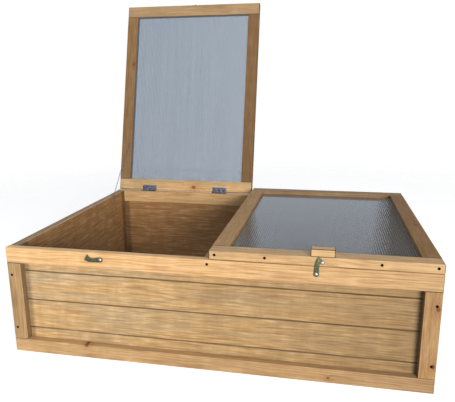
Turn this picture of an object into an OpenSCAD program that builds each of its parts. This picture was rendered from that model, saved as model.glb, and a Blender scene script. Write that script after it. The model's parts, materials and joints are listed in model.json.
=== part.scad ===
// Cold frame: a low bottomless timber box with two glazed lids hinged along its back rail.
// Millimetres, +X right, +Y back, +Z up.  The origin lies on the ground in the middle of the
// footprint of the rest pose, which has the left lid standing open and the right lid shut.

/* [Box] */
// Outside width of the box
box_w = 1200; // [900:10:1600]
// Outside depth of the box, front face to back face
box_d = 820; // [600:10:1000]
// Height of the box
box_h = 330; // [250:5:450]
// Thickness of the outer frame members
frame_t = 21; // [18:1:28]
// Height of the top rails
top_rail_h = 47; // [40:1:60]
// Height of the bottom rails
bottom_rail_h = 41; // [35:1:60]
// Width of the posts
post_w = 43; // [35:1:60]
// How far the side frames stand in from the ends of the front and back frames
side_inset = 3; // [0:0.5:6]
// Radius worn onto the edges of the frame members
edge_r = 2; // [1:0.5:4]
// Thickness of the middle rail under the gap between the lids
centre_rail_t = 24; // [18:1:30]
// Height of the middle rail
centre_rail_h = 43; // [35:1:60]

/* [Boards] */
// Thickness of the tongue-and-groove boards
board_t = 10; // [8:1:14]
// Height of the first joint between boards
first_joint_z = 72.5; // [60:0.5:90]
// Cover width of one board
board_pitch = 90.5; // [80:0.5:110]
// Depth of the V along each board joint
board_v = 1.8; // [1:0.1:3]
// Distance from the top of the front rail down to the top board
front_board_drop = 28; // [15:1:40]

/* [Lids] */
// Gap between the two lids
lid_gap = 10; // [4:1:16]
// Gap between the box and a lid lying shut
lid_lift = 1; // [0.8:0.1:2]
// Thickness of the lid frames
lid_t = 25; // [22:1:30]
// Width of the lid rails and stiles
member_w = 47; // [40:1:60]
// Radius on the edges of the lid rails
lid_edge_r = 3; // [1:0.5:5]
// Angle the lids open to
open_angle = 105; // [95:1:108]
// Width of the lift block on each lid
block_w = 62; // [50:1:80]
// Depth of the lift block
block_d = 24; // [18:1:30]
// Height of the lift block
block_h = 21; // [15:1:30]

/* [Glazing] */
// Thickness of the twin-wall sheet
sheet_t = 4; // [4:1:6]
// Thickness of each skin and rib of the sheet
skin_t = 0.5; // [0.4:0.1:0.8]
// Number of channels across the sheet
channels = 78; // [40:1:90]
// How far the sheet sits in its grooves
sheet_hold = 8; // [6:0.5:12]
// Height of the sheet above the underside of the lid frame
sheet_z = 8; // [6:0.5:12]

/* [Hinges] */
// Length of a butt hinge
hinge_l = 62; // [50:1:80]
// Distance from the end of a lid to the middle of its hinge
hinge_in = 140; // [100:5:200]
// Radius of the hinge knuckles
knuckle_r = 3; // [2.5:0.25:4]
// Radius of the hinge pin
pin_r = 1.5; // [1.2:0.1:1.8]
// Reach of a hinge leaf from the pin
leaf_reach = 21; // [18:1:28]
// Thickness of a hinge leaf
leaf_t = 1.2; // [1:0.1:1.5]

/* [Hooks] */
// Thickness of the hook plate
hook_t = 2; // [1.5:0.5:3]
// Radius of the round foot of the hook
hook_foot_r = 7.25; // [6.5:0.25:10]
// Height of the hook pivots above the ground
hook_z = 310; // [300:1:315]
// Position of the right hook pivot from the middle of its lid
right_hook_off = -13; // [-60:1:60]
// Position of the left hook pivot from the middle of its lid
left_hook_off = -3; // [-60:1:60]

/* [Stay chains] */
// Links in each half of a chain
links = 13; // [9:2:17]
// Distance between neighbouring links
link_pitch = 12; // [12:0.5:14]
// Radius of the chain wire
wire_r = 0.6; // [0.5:0.1:0.7]
// Distance of the lid eye in front of the hinge pin
eye_back = 208; // [190:1:230]
// Depth of the lid eye below the hinge pin
eye_drop = 12; // [11:0.5:14]

/* [Hidden] */
timber_col = "#c79a62";
board_col = "#b98c58";
zinc_col = "#8d9292";
clear_col = [0.75, 0.85, 0.92, 0.35];

left = -box_w / 2;
front = -box_d / 2;
back = box_d / 2;
frame_in = front + frame_t;             // back face of the front frame
top_z = box_h - top_rail_h;             // underside of the top rails
post_l = top_z - bottom_rail_h;         // length of the posts
box_screw_l = 48;                       // screws through the front and back frames
side_x = box_w / 2 - side_inset;        // outer face of a side frame
side_in = side_x - frame_t;             // inner face of a side frame
wall_x = side_in - board_t;             // inner face of a side wall
board_play = 0.2;                       // gap between neighbouring boards
tongue = 4;

screw_r = 1.5;
screw_head_r = 3.7;
screw_head_h = 1.8;
screw_tip_l = 4;                        // pointed end of a wood screw
cross_slot = [4.4, 0.8, 0.9];           // length, width and depth of a screw's cross slot
screw_sink = 2.4;                       // how deep the heads sit below the timber
bore_play = 0.05;
side_screw_x = box_w / 2 - 12;
side_screw_z = [78, 245];
rail_screw_z = box_h - 13;

lid_w = (box_w - lid_gap) / 2;
lid_z = box_h + lid_lift;
lid_top = lid_z + lid_t;
left_lid_x = left;
right_lid_x = lid_gap / 2;
lid_screw_x = [16, 150, lid_w - 150, lid_w - 16];
lid_screw_z = lid_z + 13.5;
lid_screw_l = [62, 33, 33, 62];
groove_play = 0.1;
groove_d = sheet_hold + 0.5;
sheet_w = lid_w - 2 * member_w + 2 * sheet_hold;
sheet_l = box_d - 2 * member_w + 2 * sheet_hold;
channel_pitch = (sheet_w - skin_t) / channels;

hinge_out = 0.5;                        // pin axis behind the back faces
hinge_y = back + hinge_out;
hinge_z = box_h + lid_lift / 2;
knuckle_gap = 0.3;
knuckle_l = (hinge_l - 4 * knuckle_gap) / 5;
leaf_near = 3.3;                        // where a leaf plate clears the other leaf's knuckles
leaf_screw_x = [-22, 0, 22];
leaf_screw_y = [-9.5, -16, -9.5];
leaf_screw_l = 14;
hinge_xs = [left_lid_x + hinge_in, left_lid_x + lid_w - hinge_in,
            right_lid_x + hinge_in, right_lid_x + lid_w - hinge_in];

hook_gap = 0.5;
left_hook_turn = -98;                   // the left hook is turned off its stud, a little below level
hook_screw_r = 2.1;
hook_bore_r = 2.15;
stud_off = [14.3, 31.5];                // lid stud from the hook pivot, across and up
stud_r = 2;
slot_mid = norm(stud_off);
slot_half = 2.4;
left_hook_x = left_lid_x + lid_w / 2 + left_hook_off;
right_hook_x = right_lid_x + lid_w / 2 + right_hook_off;
stud_z = hook_z + stud_off[1];

link_end_r = 1.9;
link_half = link_pitch / 2 + 0.7;       // half length along the wire centreline
link_inner = link_half - wire_r;
eye_wire_r = 1;
eye_ring_r = 3.5;
eye_shank_r = eye_wire_r + 0.3;
eye_hold = 6.5;                         // how far the eye is screwed into the stile
leg = (links - 1) * link_pitch + link_inner - eye_wire_r - 0.3;
lower_x = wall_x - 3.5;                 // plane of the half held by the wall
upper_x = wall_x - 9;                   // plane of the half held by the lid
eye_open = [eye_back * cos(180 - open_angle) - eye_drop * sin(open_angle),
            eye_back * sin(open_angle) + eye_drop * cos(180 - open_angle)];
peg_y = eye_open[0] - sqrt(4 * leg * leg - pow(eye_open[1] + eye_drop, 2));
open_dir = atan2(eye_open[1] + eye_drop, eye_open[0] - peg_y);
shut_dir = acos((peg_y + eye_back) / (2 * leg));

origin_y = 126.5;                        // box centre to the middle of the footprint

// ---- shared shapes -------------------------------------------------------------------------

// Moves box coordinates into the part's frame.
module placed() {
  translate([0, -origin_y, 0]) children();
}

// Swings a lid's pieces from lying shut to standing open.
module opened() {
  translate([0, hinge_y, hinge_z]) rotate([-open_angle, 0, 0])
    translate([0, -hinge_y, -hinge_z]) children();
}

// A rectangle with round corners, from the origin.
module soft_rect(w, h, r) {
  translate([r, 0]) square([w - 2 * r, h]);
  translate([0, r]) square([w, h - 2 * r]);
  for (x = [r, w - r], y = [r, h - r]) translate([x, y]) circle(r = r, $fn = 32);
}

// A sawn and sanded length of timber with every edge eased, from the origin.
module timber(size, r) {
  intersection() {
    linear_extrude(size[2]) soft_rect(size[0], size[1], r);
    translate([0, size[1], 0]) rotate([90, 0, 0]) linear_extrude(size[1]) soft_rect(size[0], size[2], r);
    rotate([90, 0, 90]) linear_extrude(size[0]) soft_rect(size[1], size[2], r);
  }
}

// A pan-head screw pointing along +Z, its head sunk below a timber face at z = 0.
module wood_screw(length) {
  difference() {
    union() {
      translate([0, 0, screw_sink]) cylinder(r = screw_head_r, h = screw_head_h, $fn = 40);
      translate([0, 0, screw_sink]) cylinder(r = screw_r, h = length - screw_tip_l, $fn = 32);
      translate([0, 0, screw_sink + length - screw_tip_l])
        cylinder(r1 = screw_r, r2 = 0.3, h = screw_tip_l, $fn = 32);
    }
    for (a = [0, 90]) rotate([0, 0, a])
      translate([-cross_slot[0] / 2, -cross_slot[1] / 2, screw_sink - 1])
        cube([cross_slot[0], cross_slot[1], 1 + cross_slot[2]]);
  }
}

// The hole such a screw sits in.
module wood_bore(length) {
  translate([0, 0, -1]) cylinder(r = screw_head_r + 0.2, h = 1 + screw_sink + screw_head_h, $fn = 40);
  cylinder(r = screw_r + bore_play, h = screw_sink + length + 1, $fn = 32);
}

// Places its child at every screw through the front and back frames, pointing into the timber.
module box_screw_places() {
  for (x = [-side_screw_x, side_screw_x], z = side_screw_z) {
    translate([x, front, z]) rotate([-90, 0, 0]) children();
    translate([x, back, z]) rotate([90, 0, 0]) children();
  }
  translate([0, front, rail_screw_z]) rotate([-90, 0, 0]) children();
  translate([0, back, rail_screw_z]) rotate([90, 0, 0]) children();
}

// One length of tongue-and-groove board lying along X, face towards -Y, back at y = board_t.
module board(length, z0, z1, has_groove, has_tongue) {
  v = board_v;
  lo = has_groove ? z0 + board_play / 2 : z0;
  hi = has_tongue ? z1 - board_play / 2 : z1;
  mid = board_t / 2;
  rotate([90, 0, 90]) linear_extrude(length) difference() {
    union() {
      polygon([[0, lo + (has_groove ? v : 0)], [has_groove ? v : 0, lo], [board_t, lo], [board_t, hi],
               [has_tongue ? v : 0, hi], [0, hi - (has_tongue ? v : 0)]]);
      if (has_tongue) translate([mid - 1.4, hi - 1]) square([2.8, 1 + tongue]);
    }
    if (has_groove) translate([mid - 1.5, lo - 1]) square([3, 1 + tongue + board_play]);
  }
}

// The n-th board of a wall (1 at the ground) whose top edge is at the given height.
module wall_board(length, n, top) {
  z0 = n == 1 ? 0 : first_joint_z + (n - 2) * board_pitch;
  z1 = n == 4 ? top : first_joint_z + (n - 1) * board_pitch;
  board(length, z0, z1, n > 1, n < 4);
}

// ---- box frame -----------------------------------------------------------------------------

module box_rail(y, t, z, h) {
  difference() {
    translate([left, y, z]) timber([box_w, t, h], edge_r);
    box_screw_places() wood_bore(box_screw_l);
    hook_bores();
    hinge_box_pockets();
  }
}

module box_post(x, y) {
  difference() {
    translate([x, y, bottom_rail_h]) timber([post_w, frame_t, post_l], edge_r);
    box_screw_places() wood_bore(box_screw_l);
  }
}

module side_member(side, y, z, size) {
  difference() {
    translate([side < 0 ? -side_x : side_in, y, z]) timber([frame_t, size[0], size[1]], edge_r);
    box_screw_places() wood_bore(box_screw_l);
    peg_bores();
  }
}

module hook_bores() {
  for (x = [left_hook_x, right_hook_x])
    translate([x, front - 1, hook_z]) rotate([-90, 0, 0])
      cylinder(r = hook_screw_r + bore_play, h = 1 + frame_t - 1, $fn = 40);
}

// Room for a hinge's knuckles and pin heads in the back edge of a timber.
module knuckle_pocket(x) {
  translate([x - hinge_l / 2 - 1.3, hinge_y, hinge_z]) rotate([0, 90, 0])
    cylinder(r = knuckle_r + 0.4, h = hinge_l + 2.6, $fn = 64);
}

module hinge_box_pockets() {
  for (x = hinge_xs) {
    translate([x - hinge_l / 2 - 0.1, hinge_y - leaf_reach - 0.2, hinge_z - 0.5 - leaf_t])
      cube([hinge_l + 0.2, leaf_reach + 5, leaf_t + 5]);
    knuckle_pocket(x);
    for (i = [0:2])
      translate([x + leaf_screw_x[i], hinge_y + leaf_screw_y[i], hinge_z - 0.5 - leaf_screw_l - 1])
      cylinder(r = screw_r + bore_play, h = leaf_screw_l + 5, $fn = 32);
  }
}

module front_top_rail() { color(timber_col) placed() box_rail(front, frame_t, top_z, top_rail_h); }
module front_bottom_rail() { color(timber_col) placed() box_rail(front, frame_t, 0, bottom_rail_h); }
module front_left_post() { color(timber_col) placed() box_post(left, front); }
module front_right_post() { color(timber_col) placed() box_post(-left - post_w, front); }
module back_top_rail() {
  color(timber_col) placed() box_rail(back - frame_t - board_t, frame_t + board_t, top_z, top_rail_h);
}
module back_bottom_rail() {
  color(timber_col) placed() box_rail(back - frame_t, frame_t, 0, bottom_rail_h);
}
module back_left_post() { color(timber_col) placed() box_post(left, back - frame_t); }
module back_right_post() { color(timber_col) placed() box_post(-left - post_w, back - frame_t); }

side_l = box_d - 2 * frame_t;
side_top_l = side_l - board_t;          // the back top rail is thicker and stands further in
module left_side_top_rail() {
  color(timber_col) placed() side_member(-1, frame_in, top_z, [side_top_l, top_rail_h]);
}
module left_side_bottom_rail() {
  color(timber_col) placed() side_member(-1, frame_in, 0, [side_l, bottom_rail_h]);
}
module left_side_front_post() {
  color(timber_col) placed() side_member(-1, frame_in, bottom_rail_h, [post_w, post_l]);
}
module left_side_back_post() {
  color(timber_col) placed() side_member(-1, -frame_in - post_w, bottom_rail_h, [post_w, post_l]);
}
module right_side_top_rail() {
  color(timber_col) placed() side_member(1, frame_in, top_z, [side_top_l, top_rail_h]);
}
module right_side_bottom_rail() {
  color(timber_col) placed() side_member(1, frame_in, 0, [side_l, bottom_rail_h]);
}
module right_side_front_post() {
  color(timber_col) placed() side_member(1, frame_in, bottom_rail_h, [post_w, post_l]);
}
module right_side_back_post() {
  color(timber_col) placed() side_member(1, -frame_in - post_w, bottom_rail_h, [post_w, post_l]);
}

// ---- boarding ------------------------------------------------------------------------------

module front_board(n) {
  translate([-side_in, frame_in, 0]) wall_board(2 * side_in, n, box_h - front_board_drop);
}
module back_board(n) {
  translate([side_in, back - frame_t, 0]) rotate([0, 0, 180]) wall_board(2 * side_in, n, top_z);
}
module front_board_1() { color(board_col) placed() front_board(1); }
module front_board_2() { color(board_col) placed() front_board(2); }
module front_board_3() { color(board_col) placed() front_board(3); }
module front_board_4() { color(board_col) placed() front_board(4); }
module back_board_1() { color(board_col) placed() back_board(1); }
module back_board_2() { color(board_col) placed() back_board(2); }
module back_board_3() { color(board_col) placed() back_board(3); }
module back_board_4() { color(board_col) placed() back_board(4); }

side_board_l = side_l - 2 * board_t;
module left_side_boards() {
  color(board_col) placed() difference() {
    translate([-side_in, side_board_l / 2, 0]) rotate([0, 0, -90])
      for (n = [1:4]) wall_board(side_board_l, n, box_h);
    peg_bores();
  }
}
module right_side_boards() {
  color(board_col) placed() difference() {
    translate([side_in, -side_board_l / 2, 0]) rotate([0, 0, 90])
      for (n = [1:4]) wall_board(side_board_l, n, box_h);
    peg_bores();
  }
}

// The middle rail is notched over the top front board.
module centre_rail() {
  color(timber_col) placed() difference() {
    translate([-centre_rail_t / 2, frame_in, box_h - centre_rail_h])
      timber([centre_rail_t, side_top_l, centre_rail_h], edge_r);
    translate([-centre_rail_t, frame_in - 1, box_h - centre_rail_h - 1])
      cube([2 * centre_rail_t, board_t + 1.3, centre_rail_h - front_board_drop + 1.3]);
    box_screw_places() wood_bore(box_screw_l);
  }
}

// ---- lid timber ----------------------------------------------------------------------------

module sheet_groove(x0) {
  translate([x0 + member_w - groove_d, front + member_w - groove_d, lid_z + sheet_z - groove_play])
    cube([lid_w - 2 * (member_w - groove_d), box_d - 2 * (member_w - groove_d), sheet_t + 2 * groove_play]);
}

// Places its child at one of the four screws through a lid's front rail.
module front_screw_place(x0, i) {
  translate([x0 + lid_screw_x[i], front, lid_screw_z]) rotate([-90, 0, 0]) children();
}

// Places its child at the screws through the ends of a lid's back rail.
module back_corner_screw_places(x0) {
  for (i = [0, 3]) translate([x0 + lid_screw_x[i], back, lid_screw_z]) rotate([90, 0, 0]) children();
}

module lid_front_rail(x0, hook_x) {
  difference() {
    translate([x0, front, lid_z]) timber([lid_w, member_w, lid_t], lid_edge_r);
    sheet_groove(x0);
    for (i = [0:3]) front_screw_place(x0, i) wood_bore(lid_screw_l[i]);
    translate([hook_x + stud_off[0], front - 1, stud_z]) rotate([-90, 0, 0])
      cylinder(r = stud_r + bore_play, h = 31, $fn = 40);
  }
}

module lid_back_rail(x0) {
  difference() {
    translate([x0, back - member_w, lid_z]) timber([lid_w, member_w, lid_t], lid_edge_r);
    sheet_groove(x0);
    for (x = [x0 + hinge_in, x0 + lid_w - hinge_in]) {
      translate([x - hinge_l / 2 - 0.1, hinge_y - leaf_reach - 0.2, hinge_z + 0.5 + leaf_t - 5])
        cube([hinge_l + 0.2, leaf_reach + 5, 5]);
      knuckle_pocket(x);
      for (i = [0:2]) translate([x + leaf_screw_x[i], hinge_y + leaf_screw_y[i], hinge_z])
        cylinder(r = screw_r + bore_play, h = 0.5 + leaf_screw_l + 1, $fn = 32);
    }
    back_corner_screw_places(x0) wood_bore(lid_screw_l[0]);
  }
}

module lid_stile(x0, x, eye_x) {
  difference() {
    translate([x, front + member_w, lid_z]) timber([member_w, box_d - 2 * member_w, lid_t], 1.5);
    sheet_groove(x0);
    for (i = [0, 3]) front_screw_place(x0, i) wood_bore(lid_screw_l[i]);
    back_corner_screw_places(x0) wood_bore(lid_screw_l[0]);
    translate([eye_x, hinge_y - eye_back, lid_z - 1])
      cylinder(r = eye_shank_r + bore_play, h = 1 + eye_hold + 0.3, $fn = 32);
  }
}

// Twin-wall sheet with its channels running front to back.
module lid_glazing(x0) {
  translate([x0 + member_w - sheet_hold, front + member_w - sheet_hold + sheet_l, lid_z + sheet_z])
    rotate([90, 0, 0]) linear_extrude(sheet_l) difference() {
      square([sheet_w, sheet_t]);
      for (i = [0:channels - 1]) translate([skin_t + i * channel_pitch, skin_t])
        square([channel_pitch - skin_t, sheet_t - 2 * skin_t]);
    }
}

module lid_lift_block(x0) {
  translate([x0 + lid_w / 2 + 2 - block_w / 2, front, lid_top]) timber([block_w, block_d, block_h], 2.5);
}

module lid_screws(x0) {
  for (i = [0:3]) front_screw_place(x0, i) wood_screw(lid_screw_l[i]);
  back_corner_screw_places(x0) wood_screw(lid_screw_l[0]);
  for (x = [x0 + hinge_in, x0 + lid_w - hinge_in], i = [0:2])
    translate([x + leaf_screw_x[i], hinge_y + leaf_screw_y[i], hinge_z + 0.5]) leaf_screw();
}

// ---- hinges --------------------------------------------------------------------------------

// A countersunk screw pointing along +Z, head flush at z = 0.
module leaf_screw() {
  difference() {
    union() {
      cylinder(r1 = 2.75, r2 = screw_r, h = 1.15, $fn = 40);
      cylinder(r = screw_r, h = leaf_screw_l - 3, $fn = 32);
      translate([0, 0, leaf_screw_l - 3]) cylinder(r1 = screw_r, r2 = 0.3, h = 3, $fn = 32);
    }
    for (a = [0, 90]) rotate([0, 0, a]) translate([-1.4, -0.3, -1]) cube([2.8, 0.6, 1.7]);
  }
}

// One leaf with its knuckles, about the pin axis: plate on the +Z side, reaching to -Y.
module hinge_leaf(knuckles) {
  difference() {
    union() {
      translate([-hinge_l / 2, -leaf_reach, 0.5]) cube([hinge_l, leaf_reach - leaf_near, leaf_t]);
      for (k = knuckles) translate([-hinge_l / 2 + k * (knuckle_l + knuckle_gap), 0, 0]) {
        rotate([0, 90, 0]) cylinder(r = knuckle_r, h = knuckle_l, $fn = 48);
        translate([0, -leaf_near - 1, 0.5]) cube([knuckle_l, leaf_near + 1, leaf_t]);
      }
    }
    translate([-hinge_l / 2 - 1, 0, 0]) rotate([0, 90, 0])
      cylinder(r = pin_r + bore_play, h = hinge_l + 2, $fn = 48);
    for (i = [0:2]) translate([leaf_screw_x[i], leaf_screw_y[i], 0.5]) {
      cylinder(r1 = 2.8, r2 = screw_r + bore_play, h = 1.15, $fn = 40);
      translate([0, 0, 1]) cylinder(r = screw_r + bore_play, h = 1, $fn = 32);
    }
  }
}

module hinge_fixed_leaves() {
  color(zinc_col) placed() for (x = hinge_xs)
    translate([x, hinge_y, hinge_z]) mirror([0, 0, 1]) hinge_leaf([0, 2, 4]);
}
module hinge_lid_pair(x0) {
  for (x = [x0 + hinge_in, x0 + lid_w - hinge_in]) translate([x, hinge_y, hinge_z]) hinge_leaf([1, 3]);
}
module hinge_pins() {
  color(zinc_col) placed() for (x = hinge_xs)
    translate([x - hinge_l / 2 - 0.9, hinge_y, hinge_z]) rotate([0, 90, 0]) {
    cylinder(r = pin_r, h = hinge_l + 1.8, $fn = 48);
    cylinder(r = pin_r + 0.8, h = 0.8, $fn = 48);
    translate([0, 0, hinge_l + 1]) cylinder(r = pin_r + 0.8, h = 0.8, $fn = 48);
  }
}
module hinge_box_screws() {
  color(zinc_col) placed() for (x = hinge_xs, i = [0:2])
    translate([x + leaf_screw_x[i], hinge_y + leaf_screw_y[i], hinge_z - 0.5])
      mirror([0, 0, 1]) leaf_screw();
}
module box_screws() { color(zinc_col) placed() box_screw_places() wood_screw(box_screw_l); }

// ---- hooks ---------------------------------------------------------------------------------

// A domed head lying on z = 0 and rising to -Z.
module dome(r, h) {
  ball = (r * r + h * h) / (2 * h);
  rotate_extrude($fn = 48) intersection() {
    translate([0, ball - h]) circle(r = ball, $fn = 96);
    translate([0, -h]) square([r, h]);
  }
}

// A flat hook plate standing in the XZ plane, about its pivot, back face at y = 0.
module hook_plate() {
  rotate([90, 0, 0]) linear_extrude(hook_t) difference() {
    union() {
      circle(r = hook_foot_r, $fn = 64);
      polygon([[-7.15, 0.8], [7.15, 0.8], [6.2, 24], [9.6, 29.5], [18.6, 34.8], [17.6, 38.2], [11.5, 42.6],
               [4.8, 47.5], [0, 42], [-3.4, 34], [-5, 24]]);
    }
    circle(r = hook_bore_r, $fn = 48);
    translate(stud_off) circle(r = slot_half, $fn = 48);
    intersection() {
      difference() {
        circle(r = slot_mid + slot_half, $fn = 128);
        circle(r = slot_mid - slot_half, $fn = 128);
      }
      polygon([[0, 0], 60 * [sin(24.42), cos(24.42)], 60 * [sin(45), cos(45)]]);
    }
  }
}

// Screw the hook turns on, about the pivot, pointing to +Y from the timber face at y = 0.
module pivot_screw() {
  head_y = hook_gap + hook_t + 0.3;
  rotate([-90, 0, 0]) {
    translate([0, 0, -head_y]) dome(4.6, 2.6);
    translate([0, 0, -head_y]) cylinder(r = hook_screw_r, h = head_y + frame_t - 1.5, $fn = 48);
    translate([0, 0, -0.2]) cylinder(r = 3.6, h = 0.2, $fn = 48);
  }
}

// Stud the hook catches, in the lid rail.
module hook_stud() {
  head_y = hook_gap + hook_t + 0.4;
  rotate([-90, 0, 0]) {
    translate([0, 0, -head_y]) dome(4.8, 2.8);
    translate([0, 0, -head_y]) cylinder(r = stud_r, h = head_y + 28, $fn = 48);
  }
}

module hook_pivot_screws() {
  color(zinc_col) placed() for (x = [left_hook_x, right_hook_x])
    translate([x, front, hook_z]) pivot_screw();
}
module left_hook() {
  color(zinc_col) placed() translate([left_hook_x, front - hook_gap, hook_z]) rotate([0, left_hook_turn, 0])
    hook_plate();
}
module right_hook() {
  color(zinc_col) placed() translate([right_hook_x, front - hook_gap, hook_z]) hook_plate();
}

// ---- stay chains ---------------------------------------------------------------------------

// One welded link lying along Y in the YZ plane.
module link() {
  rotate([0, 90, 0]) union() {
    for (s = [0, 180]) rotate([0, 0, s]) translate([0, link_half - link_end_r, 0])
      rotate_extrude(angle = 180, $fn = 24) translate([link_end_r, 0]) circle(r = wire_r, $fn = 16);
    for (s = [-1, 1]) translate([s * link_end_r, link_half - link_end_r, 0]) rotate([90, 0, 0])
      cylinder(r = wire_r, h = 2 * (link_half - link_end_r), $fn = 16);
  }
}

// Half a chain from its held end at the origin along +Y; the last link turns on that end.
module half_chain() {
  for (k = [0:links - 1]) translate([0, leg - k * link_pitch, 0]) rotate([0, k % 2 * 90, 0]) link();
}

// Screw eye under a stile, about the wire the chain hangs on.
module stay_eye() {
  ring_z = eye_ring_r;
  shank_z = ring_z + eye_ring_r - 0.3;
  translate([0, 0, ring_z]) rotate([90, 0, 0]) rotate_extrude($fn = 48)
    translate([eye_ring_r, 0]) circle(r = eye_wire_r, $fn = 24);
  translate([0, 0, shank_z])
    cylinder(r = eye_shank_r, h = eye_drop + lid_lift / 2 + eye_hold - shank_z, $fn = 32);
}

peg_r = 1.2;
peg_l = 22;
module peg_bores() {
  for (s = [-1, 1])
    translate([s * (wall_x - 1), hinge_y + peg_y, hinge_z - eye_drop]) rotate([0, s * 90, 0])
      cylinder(r = peg_r + bore_play, h = 1 + peg_l, $fn = 32);
}
module chain_wall_screws() {
  color(zinc_col) placed() for (s = [-1, 1])
    translate([s * (wall_x - 4.4), hinge_y + peg_y, hinge_z - eye_drop]) rotate([0, s * 90, 0]) {
      cylinder(r = peg_r, h = 4.4 + peg_l - 1, $fn = 32);
      translate([0, 0, -1.7]) cylinder(r = 3.2, h = 1.7, $fn = 40);
      translate([0, 0, 4.1]) cylinder(r = 2.4, h = 0.3, $fn = 40);
    }
}

// A half chain hung at a point given from the hinge pin, in the plane x, at an angle above +Y.
module hung(x, at, angle) {
  translate([x, hinge_y + at[0], hinge_z + at[1]]) rotate([angle, 0, 0]) half_chain();
}
module left_chain_upper() { color(zinc_col) placed() hung(-upper_x, eye_open, open_dir + 180); }
module left_chain_lower() { color(zinc_col) placed() hung(-lower_x, [peg_y, -eye_drop], open_dir); }
module right_chain_upper() { color(zinc_col) placed() hung(upper_x, [-eye_back, -eye_drop], -shut_dir); }
module right_chain_lower() { color(zinc_col) placed() hung(lower_x, [peg_y, -eye_drop], 180 + shut_dir); }

// ---- left lid, standing open ---------------------------------------------------------------

module left_lid_front_rail() {
  color(timber_col) placed() opened() lid_front_rail(left_lid_x, left_hook_x);
}
module left_lid_back_rail() { color(timber_col) placed() opened() lid_back_rail(left_lid_x); }
module left_lid_left_stile() {
  color(timber_col) placed() opened() lid_stile(left_lid_x, left_lid_x, -upper_x);
}
module left_lid_right_stile() {
  color(timber_col) placed() opened() lid_stile(left_lid_x, left_lid_x + lid_w - member_w, -upper_x);
}
module left_lid_glazing() { color(clear_col) placed() opened() lid_glazing(left_lid_x); }
module left_lid_lift_block() { color(timber_col) placed() opened() lid_lift_block(left_lid_x); }
module left_lid_screws() { color(zinc_col) placed() opened() lid_screws(left_lid_x); }
module left_hinge_lid_leaves() { color(zinc_col) placed() opened() hinge_lid_pair(left_lid_x); }
module left_hook_stud() {
  color(zinc_col) placed() opened() translate([left_hook_x + stud_off[0], front, stud_z]) hook_stud();
}
module left_stay_eye() {
  color(zinc_col) placed() opened()
    translate([-upper_x, hinge_y - eye_back, hinge_z - eye_drop]) stay_eye();
}

// ---- right lid, lying shut -----------------------------------------------------------------

module right_lid_front_rail() { color(timber_col) placed() lid_front_rail(right_lid_x, right_hook_x); }
module right_lid_back_rail() { color(timber_col) placed() lid_back_rail(right_lid_x); }
module right_lid_left_stile() { color(timber_col) placed() lid_stile(right_lid_x, right_lid_x, upper_x); }
module right_lid_right_stile() {
  color(timber_col) placed() lid_stile(right_lid_x, right_lid_x + lid_w - member_w, upper_x);
}
module right_lid_glazing() { color(clear_col) placed() lid_glazing(right_lid_x); }
module right_lid_lift_block() { color(timber_col) placed() lid_lift_block(right_lid_x); }
module right_lid_screws() { color(zinc_col) placed() lid_screws(right_lid_x); }
module right_hinge_lid_leaves() { color(zinc_col) placed() hinge_lid_pair(right_lid_x); }
module right_hook_stud() {
  color(zinc_col) placed() translate([right_hook_x + stud_off[0], front, stud_z]) hook_stud();
}
module right_stay_eye() {
  color(zinc_col) placed() translate([upper_x, hinge_y - eye_back, hinge_z - eye_drop]) stay_eye();
}

front_top_rail();
front_bottom_rail();
front_left_post();
front_right_post();
back_top_rail();
back_bottom_rail();
back_left_post();
back_right_post();
left_side_top_rail();
left_side_bottom_rail();
left_side_front_post();
left_side_back_post();
right_side_top_rail();
right_side_bottom_rail();
right_side_front_post();
right_side_back_post();
front_board_1();
front_board_2();
front_board_3();
front_board_4();
back_board_1();
back_board_2();
back_board_3();
back_board_4();
left_side_boards();
right_side_boards();
centre_rail();
box_screws();
hinge_fixed_leaves();
hinge_pins();
hinge_box_screws();
hook_pivot_screws();
chain_wall_screws();
left_lid_front_rail();
left_lid_back_rail();
left_lid_left_stile();
left_lid_right_stile();
left_lid_glazing();
left_lid_lift_block();
left_lid_screws();
left_hinge_lid_leaves();
left_hook_stud();
left_stay_eye();
right_lid_front_rail();
right_lid_back_rail();
right_lid_left_stile();
right_lid_right_stile();
right_lid_glazing();
right_lid_lift_block();
right_lid_screws();
right_hinge_lid_leaves();
right_hook_stud();
right_stay_eye();
left_hook();
right_hook();
left_chain_upper();
left_chain_lower();
right_chain_upper();
right_chain_lower();
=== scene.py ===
"""Cold frame: a low timber box with two twin-wall glazed lids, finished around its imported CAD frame."""

import functools
import json
import math
import random

import bmesh
import bpy
import numpy as np
from mathutils import Matrix, Vector


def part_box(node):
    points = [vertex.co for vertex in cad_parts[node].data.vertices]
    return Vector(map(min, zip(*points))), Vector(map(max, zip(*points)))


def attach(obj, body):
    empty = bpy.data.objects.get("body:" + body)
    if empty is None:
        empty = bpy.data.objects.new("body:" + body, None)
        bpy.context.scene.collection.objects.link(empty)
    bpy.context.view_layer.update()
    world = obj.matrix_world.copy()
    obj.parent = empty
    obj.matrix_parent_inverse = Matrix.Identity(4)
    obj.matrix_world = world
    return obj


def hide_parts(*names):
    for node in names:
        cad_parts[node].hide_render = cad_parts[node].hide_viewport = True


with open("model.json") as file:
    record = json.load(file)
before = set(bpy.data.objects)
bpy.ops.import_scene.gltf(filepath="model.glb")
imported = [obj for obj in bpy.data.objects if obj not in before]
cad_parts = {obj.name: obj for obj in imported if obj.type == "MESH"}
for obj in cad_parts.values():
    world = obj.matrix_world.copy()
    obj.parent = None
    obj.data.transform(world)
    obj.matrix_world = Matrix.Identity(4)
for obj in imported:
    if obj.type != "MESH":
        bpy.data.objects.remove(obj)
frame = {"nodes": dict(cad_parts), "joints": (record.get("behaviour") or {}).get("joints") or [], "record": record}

bl_info = {
    "name": "Cold Frame",
    "version": (1, 0, 0),
    "blender": (4, 5, 0),
    "location": "View3D > Sidebar > Cold Frame",
    "description": "Timber, glazing, ironmongery and stage of a two-light cold frame",
    "category": "Object",
}

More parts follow.
